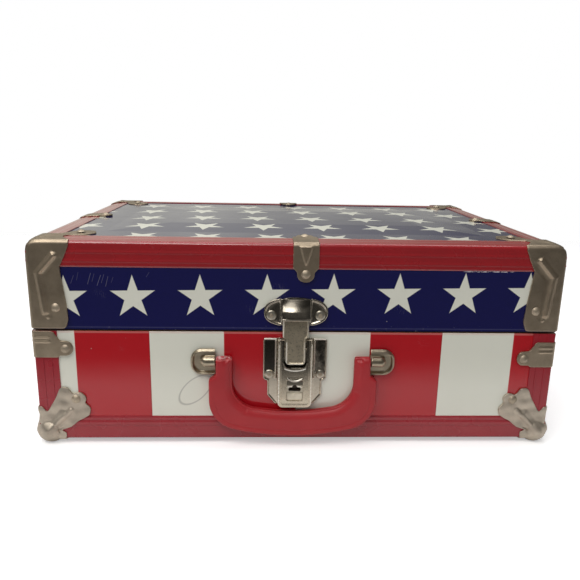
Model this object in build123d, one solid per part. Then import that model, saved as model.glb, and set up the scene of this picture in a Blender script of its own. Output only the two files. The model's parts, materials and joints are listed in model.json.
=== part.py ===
from build123d import *
import math
import os

# Small tin trunk: thin boards clad in printed tin, with rolled edge trims, pressed corners,
# a draw latch with a key lock, two back hinges and a moulded swing handle.
# Frame: X to the right, Y to the back, Z up, the floor at z = 0. All sizes are in millimetres.

# ------------------------------------------------------------------ driving sizes: the case
CASE_W = 406.0          # across the side trims
CASE_D = 280.5          # from the front trims to the back trims
BASE_H = 90.0           # underside of the bottom trims to the seam
LID_H = 69.5            # seam to the top of the lid's trims
FOOT_DROP = 4.0         # how far the ball corners stand below the bottom trims
SEAM_GAP = 1.2          # open line between base and lid
TOP_RISE = 1.1          # the lid's top slopes up this much under its trims
RISE_RUN = 19.6         # width of that slope
CROWN = 1.4             # further rise of the top panel's middle
CROWN_INSET = 47.0      # where that starts, in from the case's edges
CROWN_RUN = 45.0        # width of its sloping part

TIN = 0.5               # printed sheet
TRIM = 0.8              # rolled edge trims
PRESSED = 1.0           # nickelled pressings
BOTTOM_BOARD = 5.0
BASE_BOARD = 4.5
LID_BOARD = 3.5
LID_TOP_BOARD = 4.0
LINING = 0.4

# ------------------------------------------------------------------ trims
LID_TRIM_LEG = RISE_RUN
BASE_TRIM_LEG = 20.0
POST_TRIM_LEG = 18.0
TRIM_ROUND = 1.4        # outer rounding of a folded trim
RIB_W = 1.3
RIB_H = 0.3
RIB_PLACES = (0.34, 0.7)    # along each leg

# ------------------------------------------------------------------ pressed corners and clamps
FOLD_ROUND = 3.2        # outer rounding where a pressing folds round the case
LID_CORNER_H = 67.4     # length of the tall leaf, from the top
# Leaf outlines are (in from the edge, away from the fold, corner radius).
TALL_LEAF = (
    (32.0, -3.0, 0), (31.5, 3.6, 2), (28.5, 10.6, 3), (24.0, 19.6, 2), (24.5, 25.6, 4), (27.0, 47.6, 10),
    (28.0, 59.6, 4), (25.5, LID_CORNER_H, 3.5),
)
TOP_LEAF_SIDE = ((32.0, -3.0, 0), (31.0, 2.0, 2), (24.0, 12.0, 5), (25.0, 18.0, 4), (38.0, 23.0, 5))
TOP_LEAF_TIP = ((44.0, 31.0, 5), (41.0, 41.0, 5), (31.0, 44.0, 5))
LID_BEAD = ((20.5, 9.6), (7.8, 23.6), (11.8, 55.6))
LID_BEAD_W = 4.0
LID_BEAD_H = 0.7
CLAMP_W = 19.8
CLAMP_TONGUE_W = 13.4
CLAMP_LEG = 29.6
CLAMP_SHOULDER = 4.5    # height of the slope from the wide part to the tongue
CLAMP_SHIFT = 3.8       # the front clamp sits right of the middle
FRONT_CLAMP_RIVET = 23.4
CORNER_CLAMP_H = 21.0
CORNER_CLAMP_RIVET = (24.0, 14.0)   # in from the edge, down from the clamp's top
CORNER_CLAMP_LEAF = (
    (15.5, 0, 3), (20.0, 7.4, 2), (29.6, 8.4, 5.4), (29.6, 19.6, 5.4), (19.5, 19.6, 1),
    (18.5, CORNER_CLAMP_H, 0.6),
)
CORNER_CLAMP_LOW = 6.8  # the front right clamp sits this much lower
BALL_R = 11.5
BALL_REACH = 4.6        # how far the ball stands out of the trims
BALL_WALL = 1.2
BALL_LEAF = (
    (19.0, -3.0, 0), (21.0, 8.0, 1.5), (30.0, 15.5, 6), (39.0, 20.5, 4), (40.5, 27.0, 4), (36.0, 31.0, 2.5),
    (38.0, 36.0, 4), (33.0, 40.5, 4), (27.0, 38.5, 2), (23.5, 44.0, 3), (17.5, 44.5, 3.5), (13.5, 35.0, 8),
    (6.5, 23.5, 1.2), (2.5, 28.5, 2), (-3.0, 27.0, 0),
)
BALL_BEAD_R = 2.6
BALL_BEAD_END = 25.0
SPILL = 3.0             # how far a leaf's outline runs past the folds it shares

# ------------------------------------------------------------------ rivets
RIVET_HEAD_R = 3.5
RIVET_HEAD_H = 1.6
RIVET_SHANK_R = 1.5
RIVET_TAIL_R = 2.6
RIVET_TAIL_H = 0.7
RIVET_FIT = 0.05
LID_CORNER_RIVET = (19.1, 50.8)     # in from the edge, down from the top
TOP_LEAF_RIVET = 32.0               # in from both edges
BALL_LEAF_RIVET = (29.4, 34.5)      # in from the edge, up from the trims
BOTTOM_LEAF_RIVET = 30.0
HINGE_RIVETS = ((-13.0, 9.0), (13.0, 9.0), (0.0, 17.0))     # across, away from the seam

# ------------------------------------------------------------------ hinges
HINGE_X = 115.0
HINGE_LEAF_W = 38.0
HINGE_LEAF_H = 23.0
HINGE_LEAF_T = 1.2
HINGE_PIN_R = 1.5
HINGE_BARREL_R = 2.8
HINGE_OUT = 3.3         # pin axis behind the back panel
HINGE_MID_W = 18.0      # the lid's knuckle
KNUCKLE_GAP = 0.3
RUNNING_FIT = 0.05

# ------------------------------------------------------------------ rim strip
RIM_T = 1.0
RIM_UP = 5.5            # above the seam
RIM_DOWN = 5.5          # below the seam

# ------------------------------------------------------------------ latch, heights above the trims
LATCH_X = -3.0
PLATE_HALF_W = 24.8
PLATE_TOP = 85.6
PLATE_STEP = 51.6
PLATE_STEP_HALF_W = 21.4
PLATE_LOW = 38.4
PLATE_BOTTOM = 30.6
PLATE_BOTTOM_HALF_W = 15.0
PLATE_RIVET_X = 20.0
PLATE_RIVET_Z = 55.8
LEVER_HALF_W = 13.3
LEVER_TOP = 85.3
LEVER_BOTTOM = 30.0
LEVER_WALL = 0.9
LEVER_BACK = 1.6
LEVER_FACE = 6.8
LEVER_RIM_W = 1.5
LEVER_RIM_H = 0.4
LEVER_ROUND = 4.0
LEVER_PIVOT_Z = 84.0
LEVER_PIVOT_OUT = 3.0
LATCH_PIN_R = 1.0
LATCH_EAR_R = 1.9
LATCH_EAR_T = 1.1
LATCH_EAR_GAP = 0.4
NOTCH_HALF_W = 8.6
NOTCH_BOTTOM = 63.3
NOTCH_ROUND = 4.0
WINDOW_HALF_W = 6.2
WINDOW_LOW = 35.7
WINDOW_HIGH = 55.0
WINDOW_ROUND = 1.2
BROW_R = 1.2
BROW_DOWN = 1.6
BOLT_PIVOT_Z = 77.5
BOLT_PIVOT_OUT = 3.9
BOLT_T = 1.0
BOLT_LEAN = 6.9         # degrees that the bolt leans back at rest
BOLT_OFFSET = 1.6       # the bolt's middle plane in front of its pivot
BOLT_TAIL = 11.7
BOLT_TOP = 27.7
BOLT_NARROW = 7.6
BOLT_WIDE = 9.5
BOLT_SHOULDER = 8.2
BOLT_SHOULDER_RUN = 2.0
BOLT_TAIL_ROUND = 3.0
BOLT_LUG_AT = 6.9
BOLT_LUG_T = 1.0

# ------------------------------------------------------------------ lock in the lever
LOCK_Z = 45.0
LOCK_PLATE_T = 1.0
LOCK_PLATE_HALF_W = 8.6
LOCK_PLATE_LAP = 2.4    # overlap of the plate behind the window's edges
LOCK_STEP_H = 0.8       # raised lower half that fills the window
LOCK_STEP_TOP = 42.0
LOCK_STEP_GAP = 0.25
KEYHOLE_HALF_W = 4.6
KEYHOLE_H = 3.0
KEYHOLE_BUMP_R = 2.0
PLUG_R = 4.8
PLUG_T = 1.0
PLUG_COLLAR_T = 1.0
PLUG_SLOT_W = 1.4
CAM_T = 1.1
CAM_W = 3.4
CAM_REACH = 9.0

# ------------------------------------------------------------------ keeper on the lid
KEEPER_W = 49.0
KEEPER_H = 23.0
KEEPER_Z = 106.5
KEEPER_RIVET_X = 18.8
KEEPER_RIVET_Z = 103.9
HOOD_HALF_W = 10.6
HOOD_WALL = 0.8
HOOD_MOUTH_Z = 101.1
HOOD_TOP_Z = 116.5
HOOD_OUT = 7.9
HOOD_TOP_OUT = 4.6
HOOD_BREAK_Z = 108.0
HOOD_ROUND = 1.6

# ------------------------------------------------------------------ handle and its brackets
HANDLE_X = -4.3
HANDLE_HALF_W = 65.5
HANDLE_INNER = 47.5
HANDLE_ARM_OUTER = 60.0
HANDLE_BOTTOM = 6.4
HANDLE_GRIP_TOP = 26.5
HANDLE_OUTER_ARC = 200.0
HANDLE_INNER_ARC = 190.0
HANDLE_OUTER_ROUND = 25.0
HANDLE_INNER_ROUND = 21.0
HANDLE_SHOULDER_Z = 53.0
HANDLE_SHOULDER_RUN = 4.0
HANDLE_BACK = 1.4
HANDLE_T = 8.2
HANDLE_EDGE = 1.8       # rounding of the front and back edges
HANDLE_PIVOT_Z = 68.0
HANDLE_PIN_R = 1.5
HANDLE_PIN_IN = 9.0     # length of the pin inside the arm
HANDLE_PIN_HEAD_R = 2.7
HANDLE_PIN_HEAD_T = 1.2
BRACKET_GAP = 0.4
BRACKET_W = 19.3
BRACKET_H = 21.6
BRACKET_Z = 66.2
BRACKET_ROUND = 9.0
CUP_R = 4.2
CUP_LEN = 11.5
CUP_WALL = 0.8
TAB_W = 4.0
TAB_T = 0.9
TAB_PITCH = 14.0
TAB_IN = 13.0           # tabs' place across the bracket, from its handle side
TAB_FIT = 0.1

# ------------------------------------------------------------------ worked out from those
SKIN_W = CASE_W - 2 * TRIM
SKIN_D = CASE_D - 2 * TRIM
SEAM = FOOT_DROP + BASE_H
LID_LOW = SEAM + SEAM_GAP
TOP = SEAM + LID_H
LID_SKIN_TOP = TOP - TRIM
LID_BOARD_TOP = LID_SKIN_TOP - TIN
LID_WALL_TOP = LID_BOARD_TOP - LID_TOP_BOARD
BASE_SKIN_LOW = FOOT_DROP + TRIM
BASE_BOARD_LOW = BASE_SKIN_LOW + TIN
BASE_FLOOR = BASE_BOARD_LOW + BOTTOM_BOARD
BASE_DEEP = TIN + BASE_BOARD + LINING       # panel face to the inside of the lining
LID_DEEP = TIN + LID_BOARD + LINING
LID_TOP_DEEP = TIN + LID_TOP_BOARD + LINING + TOP_RISE
BOTTOM_DEEP = TIN + BOTTOM_BOARD + LINING
PRESSED_OUT = TRIM + PRESSED                # outer face of a pressing over a trim
HANDLE_PIVOT_OUT = HANDLE_BACK + HANDLE_T / 2

# The case is shifted back so that what stands out of front and back balances about y = 0.
FRONT_REACH = HANDLE_BACK + HANDLE_T
BACK_REACH = HINGE_OUT + HINGE_BARREL_R
CASE_Y = (FRONT_REACH - BACK_REACH) / 2

MIN3 = (Align.MIN, Align.MIN, Align.MIN)
ON_Z = (Align.CENTER, Align.CENTER, Align.MIN)

# Wall frames: x runs to the right as seen from outside, y is up from the floor,
# z is outward from the tin panel's face.
WALL = {
    "front": Plane(origin=(0, -SKIN_D / 2, 0), x_dir=(1, 0, 0), z_dir=(0, -1, 0)),
    "back": Plane(origin=(0, SKIN_D / 2, 0), x_dir=(-1, 0, 0), z_dir=(0, 1, 0)),
    "left": Plane(origin=(-SKIN_W / 2, 0, 0), x_dir=(0, -1, 0), z_dir=(-1, 0, 0)),
    "right": Plane(origin=(SKIN_W / 2, 0, 0), x_dir=(0, 1, 0), z_dir=(1, 0, 0)),
    "top": Plane(origin=(0, 0, LID_SKIN_TOP + TOP_RISE), x_dir=(1, 0, 0), z_dir=(0, 0, 1)),
    "bottom": Plane(origin=(0, 0, BASE_SKIN_LOW), x_dir=(1, 0, 0), z_dir=(0, 0, -1)),
}
HALF = {"front": CASE_W / 2, "back": CASE_W / 2, "left": CASE_D / 2, "right": CASE_D / 2}
SIDES = ("front", "back", "left", "right")
# The latch and the handle are laid out above the bottom trims, on the front panel.
LATCH = Plane(WALL["front"] * Pos(LATCH_X, FOOT_DROP, 0))
HANDLE = Plane(WALL["front"] * Pos(HANDLE_X, FOOT_DROP, 0))


# ------------------------------------------------------------------ small helpers
def block(frame, a, b, n):
    """A box in a frame, from (low, high) pairs along its three axes."""
    size = Box(a[1] - a[0], b[1] - b[0], n[1] - n[0], align=MIN3)
    return frame * Pos(a[0], b[0], n[0]) * size


def rod(frame, a, b, n, radius):
    """A round bar along a frame's x axis, from a[0] to a[1]."""
    bar = Cylinder(radius, a[1] - a[0], align=ON_Z)
    return frame * Pos(a[0], b, n) * Rot(0, 90, 0) * bar


def stud(frame, a, b, n, radius):
    """A round bar along a frame's outward axis, from n[0] to n[1]."""
    return frame * Pos(a, b, n[0]) * Cylinder(radius, n[1] - n[0], align=ON_Z)


def outline(points):
    """A face from (x, y, corner radius) points."""
    path = FilletPolyline(*[(x, y) for x, y, _ in points], radius=[r for _, _, r in points], close=True)
    return make_face(path)


def plate(frame, face, n):
    """A face pushed out of a frame from n[0] to n[1]."""
    return frame * Pos(0, 0, n[0]) * extrude(face, amount=n[1] - n[0])


def ring_wall(wide, deep, thick, low, high):
    """Four walls in one piece: outer size, wall thickness, heights."""
    height = high - low
    outer = Box(wide, deep, height, align=ON_Z)
    inner = Box(wide - 2 * thick, deep - 2 * thick, height, align=ON_Z)
    return Pos(0, 0, low) * (outer - inner)


def slab(wide, deep, low, high):
    """A flat board centred on the case."""
    return Pos(0, 0, low) * Box(wide, deep, high - low, align=ON_Z)


def boxes_meet(one, two):
    """True where two bounding boxes touch or overlap."""
    return all(
        getattr(low.min, axis) <= getattr(high.max, axis)
        for axis in "XYZ"
        for low, high in ((one, two), (two, one))
    )


def pierced(solid, cutters):
    """The solid less every cutter that comes near it."""
    box = solid.bounding_box()
    near = [cutter for cutter in cutters if boxes_meet(box, cutter.bounding_box())]
    return solid - near if near else solid


def to_corner(part, x_side, y_side):
    """A part made for the front left corner, mirrored to the corner named by two signs."""
    if x_side > 0:
        part = mirror(part, about=Plane.YZ)
    if y_side > 0:
        part = mirror(part, about=Plane.XZ)
    return part


CORNERS = {"front_left": (-1, -1), "front_right": (1, -1), "back_left": (-1, 1), "back_right": (1, 1)}


# ------------------------------------------------------------------ rivets
def rivet(seat, depth):
    """A domed rivet with its seat at n = seat and its tail clinched at n = -depth."""
    ball = (RIVET_HEAD_R**2 + RIVET_HEAD_H**2) / (2 * RIVET_HEAD_H)
    dome = Pos(0, 0, RIVET_HEAD_H - ball) * Sphere(ball)
    head = dome & Cylinder(RIVET_HEAD_R, 2 * RIVET_HEAD_H, align=ON_Z)
    shank = Pos(0, 0, -seat - depth) * Cylinder(RIVET_SHANK_R, seat + depth, align=ON_Z)
    tail = Pos(0, 0, -seat - depth - RIVET_TAIL_H) * Cylinder(RIVET_TAIL_R, RIVET_TAIL_H, align=ON_Z)
    return Pos(0, 0, seat) * (head + shank + tail)


def rivet_hole(frame, a, b, seat, depth):
    """The bore that a rivet's shank passes through."""
    return stud(frame, a, b, (-depth, seat), RIVET_SHANK_R + RIVET_FIT)


def set_rivets(places):
    """Rivets and their bores from (wall, a, b, seat, depth) places."""
    rivets = [WALL[w] * Pos(a, b, 0) * rivet(seat, depth) for w, a, b, seat, depth in places]
    bores = [rivet_hole(WALL[w], a, b, seat, depth) for w, a, b, seat, depth in places]
    return rivets, bores


def clamp_shift(side):
    """The front clamp sits off the middle of its edge."""
    return CLAMP_SHIFT if side == "front" else 0.0


def corner_clamp_drop(side, sign):
    """How far a base corner clamp sits below the seam on one end of a wall."""
    lowered = (side, sign) in (("front", 1), ("right", -1))
    return CORNER_CLAMP_LOW if lowered else 0.0


def lid_rivet_places():
    """Where the lid's rivets sit."""
    places = []
    for side in SIDES:
        for sign in (-1, 1):
            a = sign * (HALF[side] - LID_CORNER_RIVET[0])
            places.append((side, a, TOP - LID_CORNER_RIVET[1], PRESSED_OUT, LID_DEEP))
        places.append((side, clamp_shift(side), TOP - FRONT_CLAMP_RIVET, PRESSED_OUT, LID_DEEP))
    for x_side, y_side in CORNERS.values():
        x = x_side * (CASE_W / 2 - TOP_LEAF_RIVET)
        y = y_side * (CASE_D / 2 - TOP_LEAF_RIVET)
        places.append(("top", x, y, PRESSED_OUT, LID_TOP_DEEP))
    for x, y in (
        (clamp_shift("front"), -CASE_D / 2 + FRONT_CLAMP_RIVET),
        (0.0, CASE_D / 2 - FRONT_CLAMP_RIVET),
        (-CASE_W / 2 + FRONT_CLAMP_RIVET, 0.0),
        (CASE_W / 2 - FRONT_CLAMP_RIVET, 0.0),
    ):
        places.append(("top", x, y, PRESSED_OUT, LID_TOP_DEEP))
    for sign in (-1, 1):
        keeper_z = FOOT_DROP + KEEPER_RIVET_Z
        places.append(("front", LATCH_X + sign * KEEPER_RIVET_X, keeper_z, PRESSED, LID_DEEP))
        for across, away in HINGE_RIVETS:
            places.append(("back", sign * HINGE_X + across, SEAM + away, HINGE_LEAF_T, LID_DEEP))
    return places


def base_rivet_places():
    """Where the base's rivets sit."""
    places = []
    for side in SIDES:
        for sign in (-1, 1):
            a = sign * (HALF[side] - BALL_LEAF_RIVET[0])
            places.append((side, a, FOOT_DROP + BALL_LEAF_RIVET[1], PRESSED_OUT, BASE_DEEP))
            a = sign * (HALF[side] - CORNER_CLAMP_RIVET[0])
            drop = corner_clamp_drop(side, sign) + CORNER_CLAMP_RIVET[1]
            places.append((side, a, SEAM - drop, PRESSED_OUT, BASE_DEEP))
    for x_side, y_side in CORNERS.values():
        x = x_side * (CASE_W / 2 - BOTTOM_LEAF_RIVET)
        y = y_side * (CASE_D / 2 - BOTTOM_LEAF_RIVET)
        places.append(("bottom", x, -y, PRESSED_OUT, BOTTOM_DEEP))
    for sign in (-1, 1):
        plate_z = FOOT_DROP + PLATE_RIVET_Z
        places.append(("front", LATCH_X + sign * PLATE_RIVET_X, plate_z, PRESSED, BASE_DEEP))
        for across, away in HINGE_RIVETS:
            places.append(("back", sign * HINGE_X + across, SEAM - away, HINGE_LEAF_T, BASE_DEEP))
    return places


LID_RIVETS, LID_BORES = set_rivets(lid_rivet_places())
BASE_RIVETS, BASE_BORES = set_rivets(base_rivet_places())


# ------------------------------------------------------------------ boards, tin panels and linings
def hipped(wide, deep, low, rise, run):
    """A low block with its four sides sloping in, standing on z = low."""
    slope = math.degrees(math.atan(run / rise))
    return Pos(0, 0, low) * extrude(Rectangle(wide, deep), amount=rise, taper=slope)


def domed(wide, deep, low, high):
    """A slab with the lid's sloping border and crowned middle on top of it."""
    crown_w, crown_d = CASE_W - 2 * CROWN_INSET, CASE_D - 2 * CROWN_INSET
    border = hipped(wide, deep, high, TOP_RISE, RISE_RUN)
    middle = hipped(crown_w, crown_d, high + TOP_RISE, CROWN, CROWN_RUN)
    return slab(wide, deep, low, high) + border + middle


def wall_boards(board, low, high):
    """Front board, back board and the pair of side boards between them."""
    wide = SKIN_W - 2 * TIN
    deep = SKIN_D - 2 * TIN
    long_board = Box(wide, board, high - low, align=ON_Z)
    side_board = Box(board, deep - 2 * board, high - low, align=ON_Z)
    front = Pos(0, -(deep - board) / 2, low) * long_board
    back = Pos(0, (deep - board) / 2, low) * long_board
    sides = [Pos(sign * (wide - board) / 2, 0, low) * side_board for sign in (-1, 1)]
    return front, back, sides


def lining_tray(board, low, high, floor_low, floor_high):
    """A paper lining on four walls and one broad face."""
    wide = SKIN_W - 2 * TIN - 2 * board
    deep = SKIN_D - 2 * TIN - 2 * board
    return ring_wall(wide, deep, LINING, low, high) + slab(wide, deep, floor_low, floor_high)


# ------------------------------------------------------------------ edge trims
def trim_profile(leg, slope):
    """An angle section with two fine ribs on each leg, its outer corner at the origin."""
    corner = outline([
        (0, 0, TRIM_ROUND), (leg, -slope * leg, 0), (leg, TRIM - slope * (leg - TRIM), 0), (TRIM, TRIM, 0),
        (TRIM, leg, 0), (0, leg, 0),
    ])
    tilt = -math.degrees(math.atan(slope))
    for place in RIB_PLACES:
        corner += Pos(place * leg, -slope * place * leg) * Rot(0, 0, tilt) * Rectangle(RIB_W, 2 * RIB_H)
        corner += Pos(0, place * leg) * Rectangle(2 * RIB_H, RIB_W)
    return corner


def mitre_wedge(side, leg):
    """The part of the plan that belongs to one edge, cut at 45 degrees at its ends."""
    reach = leg + 2 * TRIM
    w, d = CASE_W / 2 + TRIM, CASE_D / 2 + TRIM
    if side == "front":
        points = [(-w, -d), (w, -d), (w - reach, -d + reach), (-w + reach, -d + reach)]
    else:
        points = [(-w, -d), (-w + reach, -d + reach), (-w + reach, d - reach), (-w, d)]
    return extrude(make_face(Polyline(*points, close=True)), amount=2 * TOP, both=True)


def edge_trims(leg, height, downward, slope):
    """Four mitred trims round the case at one height, by wall name."""
    turn = -1 if downward else 1
    section = trim_profile(leg, slope)
    front = Plane(
        origin=(turn * -CASE_W / 2, -CASE_D / 2, height), x_dir=(0, 1, 0), z_dir=(turn, 0, 0)
    )
    left = Plane(
        origin=(-CASE_W / 2, turn * CASE_D / 2, height), x_dir=(1, 0, 0), z_dir=(0, -turn, 0)
    )
    strips = {
        "front": plate(front, section, (0, CASE_W)) & mitre_wedge("front", leg),
        "left": plate(left, section, (0, CASE_D)) & mitre_wedge("left", leg),
    }
    strips["back"] = mirror(strips["front"], about=Plane.XZ)
    strips["right"] = mirror(strips["left"], about=Plane.YZ)
    return strips


def post_trim():
    """The upright trim at the front left corner of the base, ending on the bottom trims."""
    low = FOOT_DROP + BASE_TRIM_LEG
    corner = Plane(origin=(-CASE_W / 2, -CASE_D / 2, low), x_dir=(1, 0, 0), z_dir=(0, 0, 1))
    return plate(corner, trim_profile(POST_TRIM_LEG, 0), (0, SEAM - low))


# ------------------------------------------------------------------ pressed corners and clamps
def case_shell(low, high, body, lid):
    """A skin of pressed metal round a body's corners, rounded on its outer folds."""
    wide, deep = CASE_W + 2 * PRESSED, CASE_D + 2 * PRESSED
    outer = slab(wide, deep, low, high)
    fold_z = high if lid else low
    if lid:
        outer += hipped(wide, deep, high, TOP_RISE, RISE_RUN)
    folds = outer.edges().filter_by(Axis.Z) + outer.edges().filter_by_position(Axis.Z, fold_z, fold_z)
    return fillet(folds, FOLD_ROUND) - body


def corner_frames(height, downward):
    """Frames of the three leaves at the front left corner: front, side and flat."""
    corner = (-CASE_W / 2, -CASE_D / 2, height)
    turn = -1 if downward else 1
    return (
        Plane(origin=corner, x_dir=(1, 0, 0), z_dir=(0, -turn, 0)),
        Plane(origin=corner, x_dir=(0, 1, 0), z_dir=(turn, 0, 0)),
        Plane(origin=corner, x_dir=(1, 0, 0), z_dir=(0, 0, 1)),
    )


def leaf_cutter(frame, face, rise=0.0):
    """A prism that picks one leaf out of the shell round the case."""
    return frame * extrude(face, amount=PRESSED_OUT + RIB_H + rise, both=True)


def leaf_face(points, start, end):
    """A leaf's face: its free edge, closed by two points past the folds."""
    return outline([(*start, 0), *points, (*end, 0)])


def lid_corner(shell, body):
    """The tall three-leaf corner at the lid's front left, with its arrow bead."""
    front, side, flat = corner_frames(TOP, True)
    tall = leaf_face(TALL_LEAF, (-SPILL, -SPILL), (-SPILL, LID_CORNER_H))
    tip = TOP_LEAF_SIDE + TOP_LEAF_TIP + tuple((y, x, r) for x, y, r in reversed(TOP_LEAF_SIDE))
    top = outline([(-SPILL, -SPILL, 0), *tip])
    corner = shell & (leaf_cutter(front, tall) + leaf_cutter(side, tall) + leaf_cutter(flat, top, TOP_RISE))
    bead = trace(Polyline(*LID_BEAD), LID_BEAD_W)
    reach = PRESSED + LID_BEAD_H
    for frame, outward in ((front, -1), (side, 1)):
        corner += frame * extrude(bead, amount=outward * reach) - body
    return corner


def edge_clamp(shell, side):
    """A clamp folded over the lid's top edge in the middle of one side."""
    half, tongue = CLAMP_W / 2, CLAMP_TONGUE_W / 2
    shoulder = CLAMP_LEG - CLAMP_TONGUE_W / 2 - CLAMP_SHOULDER
    neck = shoulder + CLAMP_SHOULDER * 0.8
    face = outline([
        (-half, -SPILL, 0), (half, -SPILL, 0), (half, shoulder, 1), (tongue, neck, 1),
        (tongue, CLAMP_LEG, tongue - 0.4), (-tongue, CLAMP_LEG, tongue - 0.4), (-tongue, neck, 1),
        (-half, shoulder, 1),
    ])
    wall = WALL[side]
    fold = (wall * Pos(clamp_shift(side), TOP, TRIM)).position
    upright = Plane(origin=fold, x_dir=wall.x_dir, z_dir=-wall.z_dir)
    flat = Plane(origin=fold, x_dir=wall.x_dir, z_dir=(0, 0, 1))
    return shell & (leaf_cutter(upright, face) + leaf_cutter(flat, face, TOP_RISE))


def ball_corner(shell, body):
    """The ornate ball corner at the base's front left; its ball is a foot."""
    front, side, flat = corner_frames(FOOT_DROP, False)
    leaf = outline([(-SPILL, -SPILL, 0), *BALL_LEAF])
    picks = leaf_cutter(front, leaf) + leaf_cutter(side, leaf) + leaf_cutter(flat, leaf)
    inset = BALL_R - BALL_REACH
    corner = Vector(-CASE_W / 2, -CASE_D / 2, FOOT_DROP)
    middle = Pos(corner + Vector(inset, inset, inset))
    raised = BALL_BEAD_R / 2 - PRESSED
    start = corner + Vector(inset, raised, inset)
    end = corner + Vector(BALL_BEAD_END, raised, BALL_BEAD_END)
    run = Plane(origin=start, z_dir=end - start)
    bead = run * Cylinder(BALL_BEAD_R, (end - start).length, align=ON_Z) + Pos(end) * Sphere(BALL_BEAD_R)
    diagonal = Axis(corner, (1, 1, 1))
    beads = [bead.rotate(diagonal, turn) for turn in (0, 120, 240)]
    pressing = (shell & picks) + middle * Sphere(BALL_R) + beads
    floor_cut = Pos(0, 0, -BALL_R) * Box(CASE_W + 2 * BALL_R, CASE_D + 2 * BALL_R, BALL_R, align=ON_Z)
    return pressing - body - middle * Sphere(BALL_R - BALL_WALL) - floor_cut


def corner_clamp(shell):
    """The small clamp round the base's front left edge, just under the seam."""
    face = leaf_face(CORNER_CLAMP_LEAF, (-SPILL, 0), (-SPILL, CORNER_CLAMP_H))
    front, side, _ = corner_frames(SEAM, True)
    return shell & (leaf_cutter(front, face) + leaf_cutter(side, face))


# ------------------------------------------------------------------ hinges
def hinge_leaf(sign, upward):
    """One leaf of a back hinge with its knuckles; the lid's leaf has the middle one."""
    turn = 1 if upward else -1
    axis_frame = Plane(WALL["back"] * Pos(sign * HINGE_X, SEAM, 0))
    half, mid = HINGE_LEAF_W / 2, HINGE_MID_W / 2
    edge = SEAM_GAP if upward else 0.0
    leaf = outline([
        (-half, edge, 0), (half, edge, 0), (half, HINGE_LEAF_H * 0.55, 3), (half / 2, HINGE_LEAF_H, 4),
        (-half / 2, HINGE_LEAF_H, 4), (-half, HINGE_LEAF_H * 0.55, 3),
    ])
    leaf = plate(axis_frame, leaf, (0, HINGE_LEAF_T))
    if not upward:
        leaf = leaf.mirror(Plane(origin=axis_frame.origin, z_dir=(0, 0, 1)))
    spans = [(-mid, mid)] if upward else [(-half, -mid - KNUCKLE_GAP), (mid + KNUCKLE_GAP, half)]
    others = [(-half, -mid), (mid, half)] if upward else [(-mid - KNUCKLE_GAP, mid + KNUCKLE_GAP)]
    swept = HINGE_BARREL_R + KNUCKLE_GAP
    leaf -= [rod(axis_frame, span, 0, HINGE_OUT, swept) for span in others]
    for low, high in spans:
        tangent = sorted((0.0, turn * HINGE_BARREL_R))
        web = block(axis_frame, (low, high), tangent, (HINGE_OUT - HINGE_BARREL_R, HINGE_OUT))
        foot = sorted((turn * edge, turn * HINGE_BARREL_R))
        root = block(axis_frame, (low, high), foot, (0, HINGE_LEAF_T))
        leaf += [rod(axis_frame, (low, high), 0, HINGE_OUT, HINGE_BARREL_R), web, root]
    return leaf - rod(axis_frame, (-half, half), 0, HINGE_OUT, HINGE_PIN_R + RUNNING_FIT)


def hinge_pin(sign):
    """The pin through one hinge."""
    axis_frame = Plane(WALL["back"] * Pos(sign * HINGE_X, SEAM, 0))
    return rod(axis_frame, (-HINGE_LEAF_W / 2, HINGE_LEAF_W / 2), 0, HINGE_OUT, HINGE_PIN_R)


# ------------------------------------------------------------------ latch
def latch_plate():
    """The mounting plate on the base, with the two ears that carry the lever."""
    wide, step, foot = PLATE_HALF_W, PLATE_STEP_HALF_W, PLATE_BOTTOM_HALF_W
    right = [
        (wide, PLATE_TOP, 2), (wide, PLATE_STEP, 3), (step, PLATE_STEP - 1, 0.5), (step, PLATE_LOW, 2),
        (foot, PLATE_BOTTOM, 2),
    ]
    left = [(-x, z, r) for x, z, r in reversed(right)]
    body = plate(LATCH, outline(right + left), (0, PRESSED))
    inner = LEVER_HALF_W - LEVER_WALL - LATCH_EAR_GAP - LATCH_EAR_T
    for sign in (-1, 1):
        span = sorted((sign * inner, sign * (inner + LATCH_EAR_T)))
        web = (LEVER_PIVOT_Z - 2 * LATCH_EAR_R, LEVER_PIVOT_Z)
        ear = rod(LATCH, span, LEVER_PIVOT_Z, LEVER_PIVOT_OUT, LATCH_EAR_R)
        ear += block(LATCH, span, web, (PRESSED, LEVER_PIVOT_OUT + LATCH_EAR_R * 0.8))
        ear += block(LATCH, span, (LEVER_PIVOT_Z - LATCH_EAR_R, LEVER_PIVOT_Z), (PRESSED, LEVER_PIVOT_OUT))
        body += ear
    bore = rod(LATCH, (-wide, wide), LEVER_PIVOT_Z, LEVER_PIVOT_OUT, LATCH_PIN_R + RIVET_FIT / 2)
    return body - bore


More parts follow.
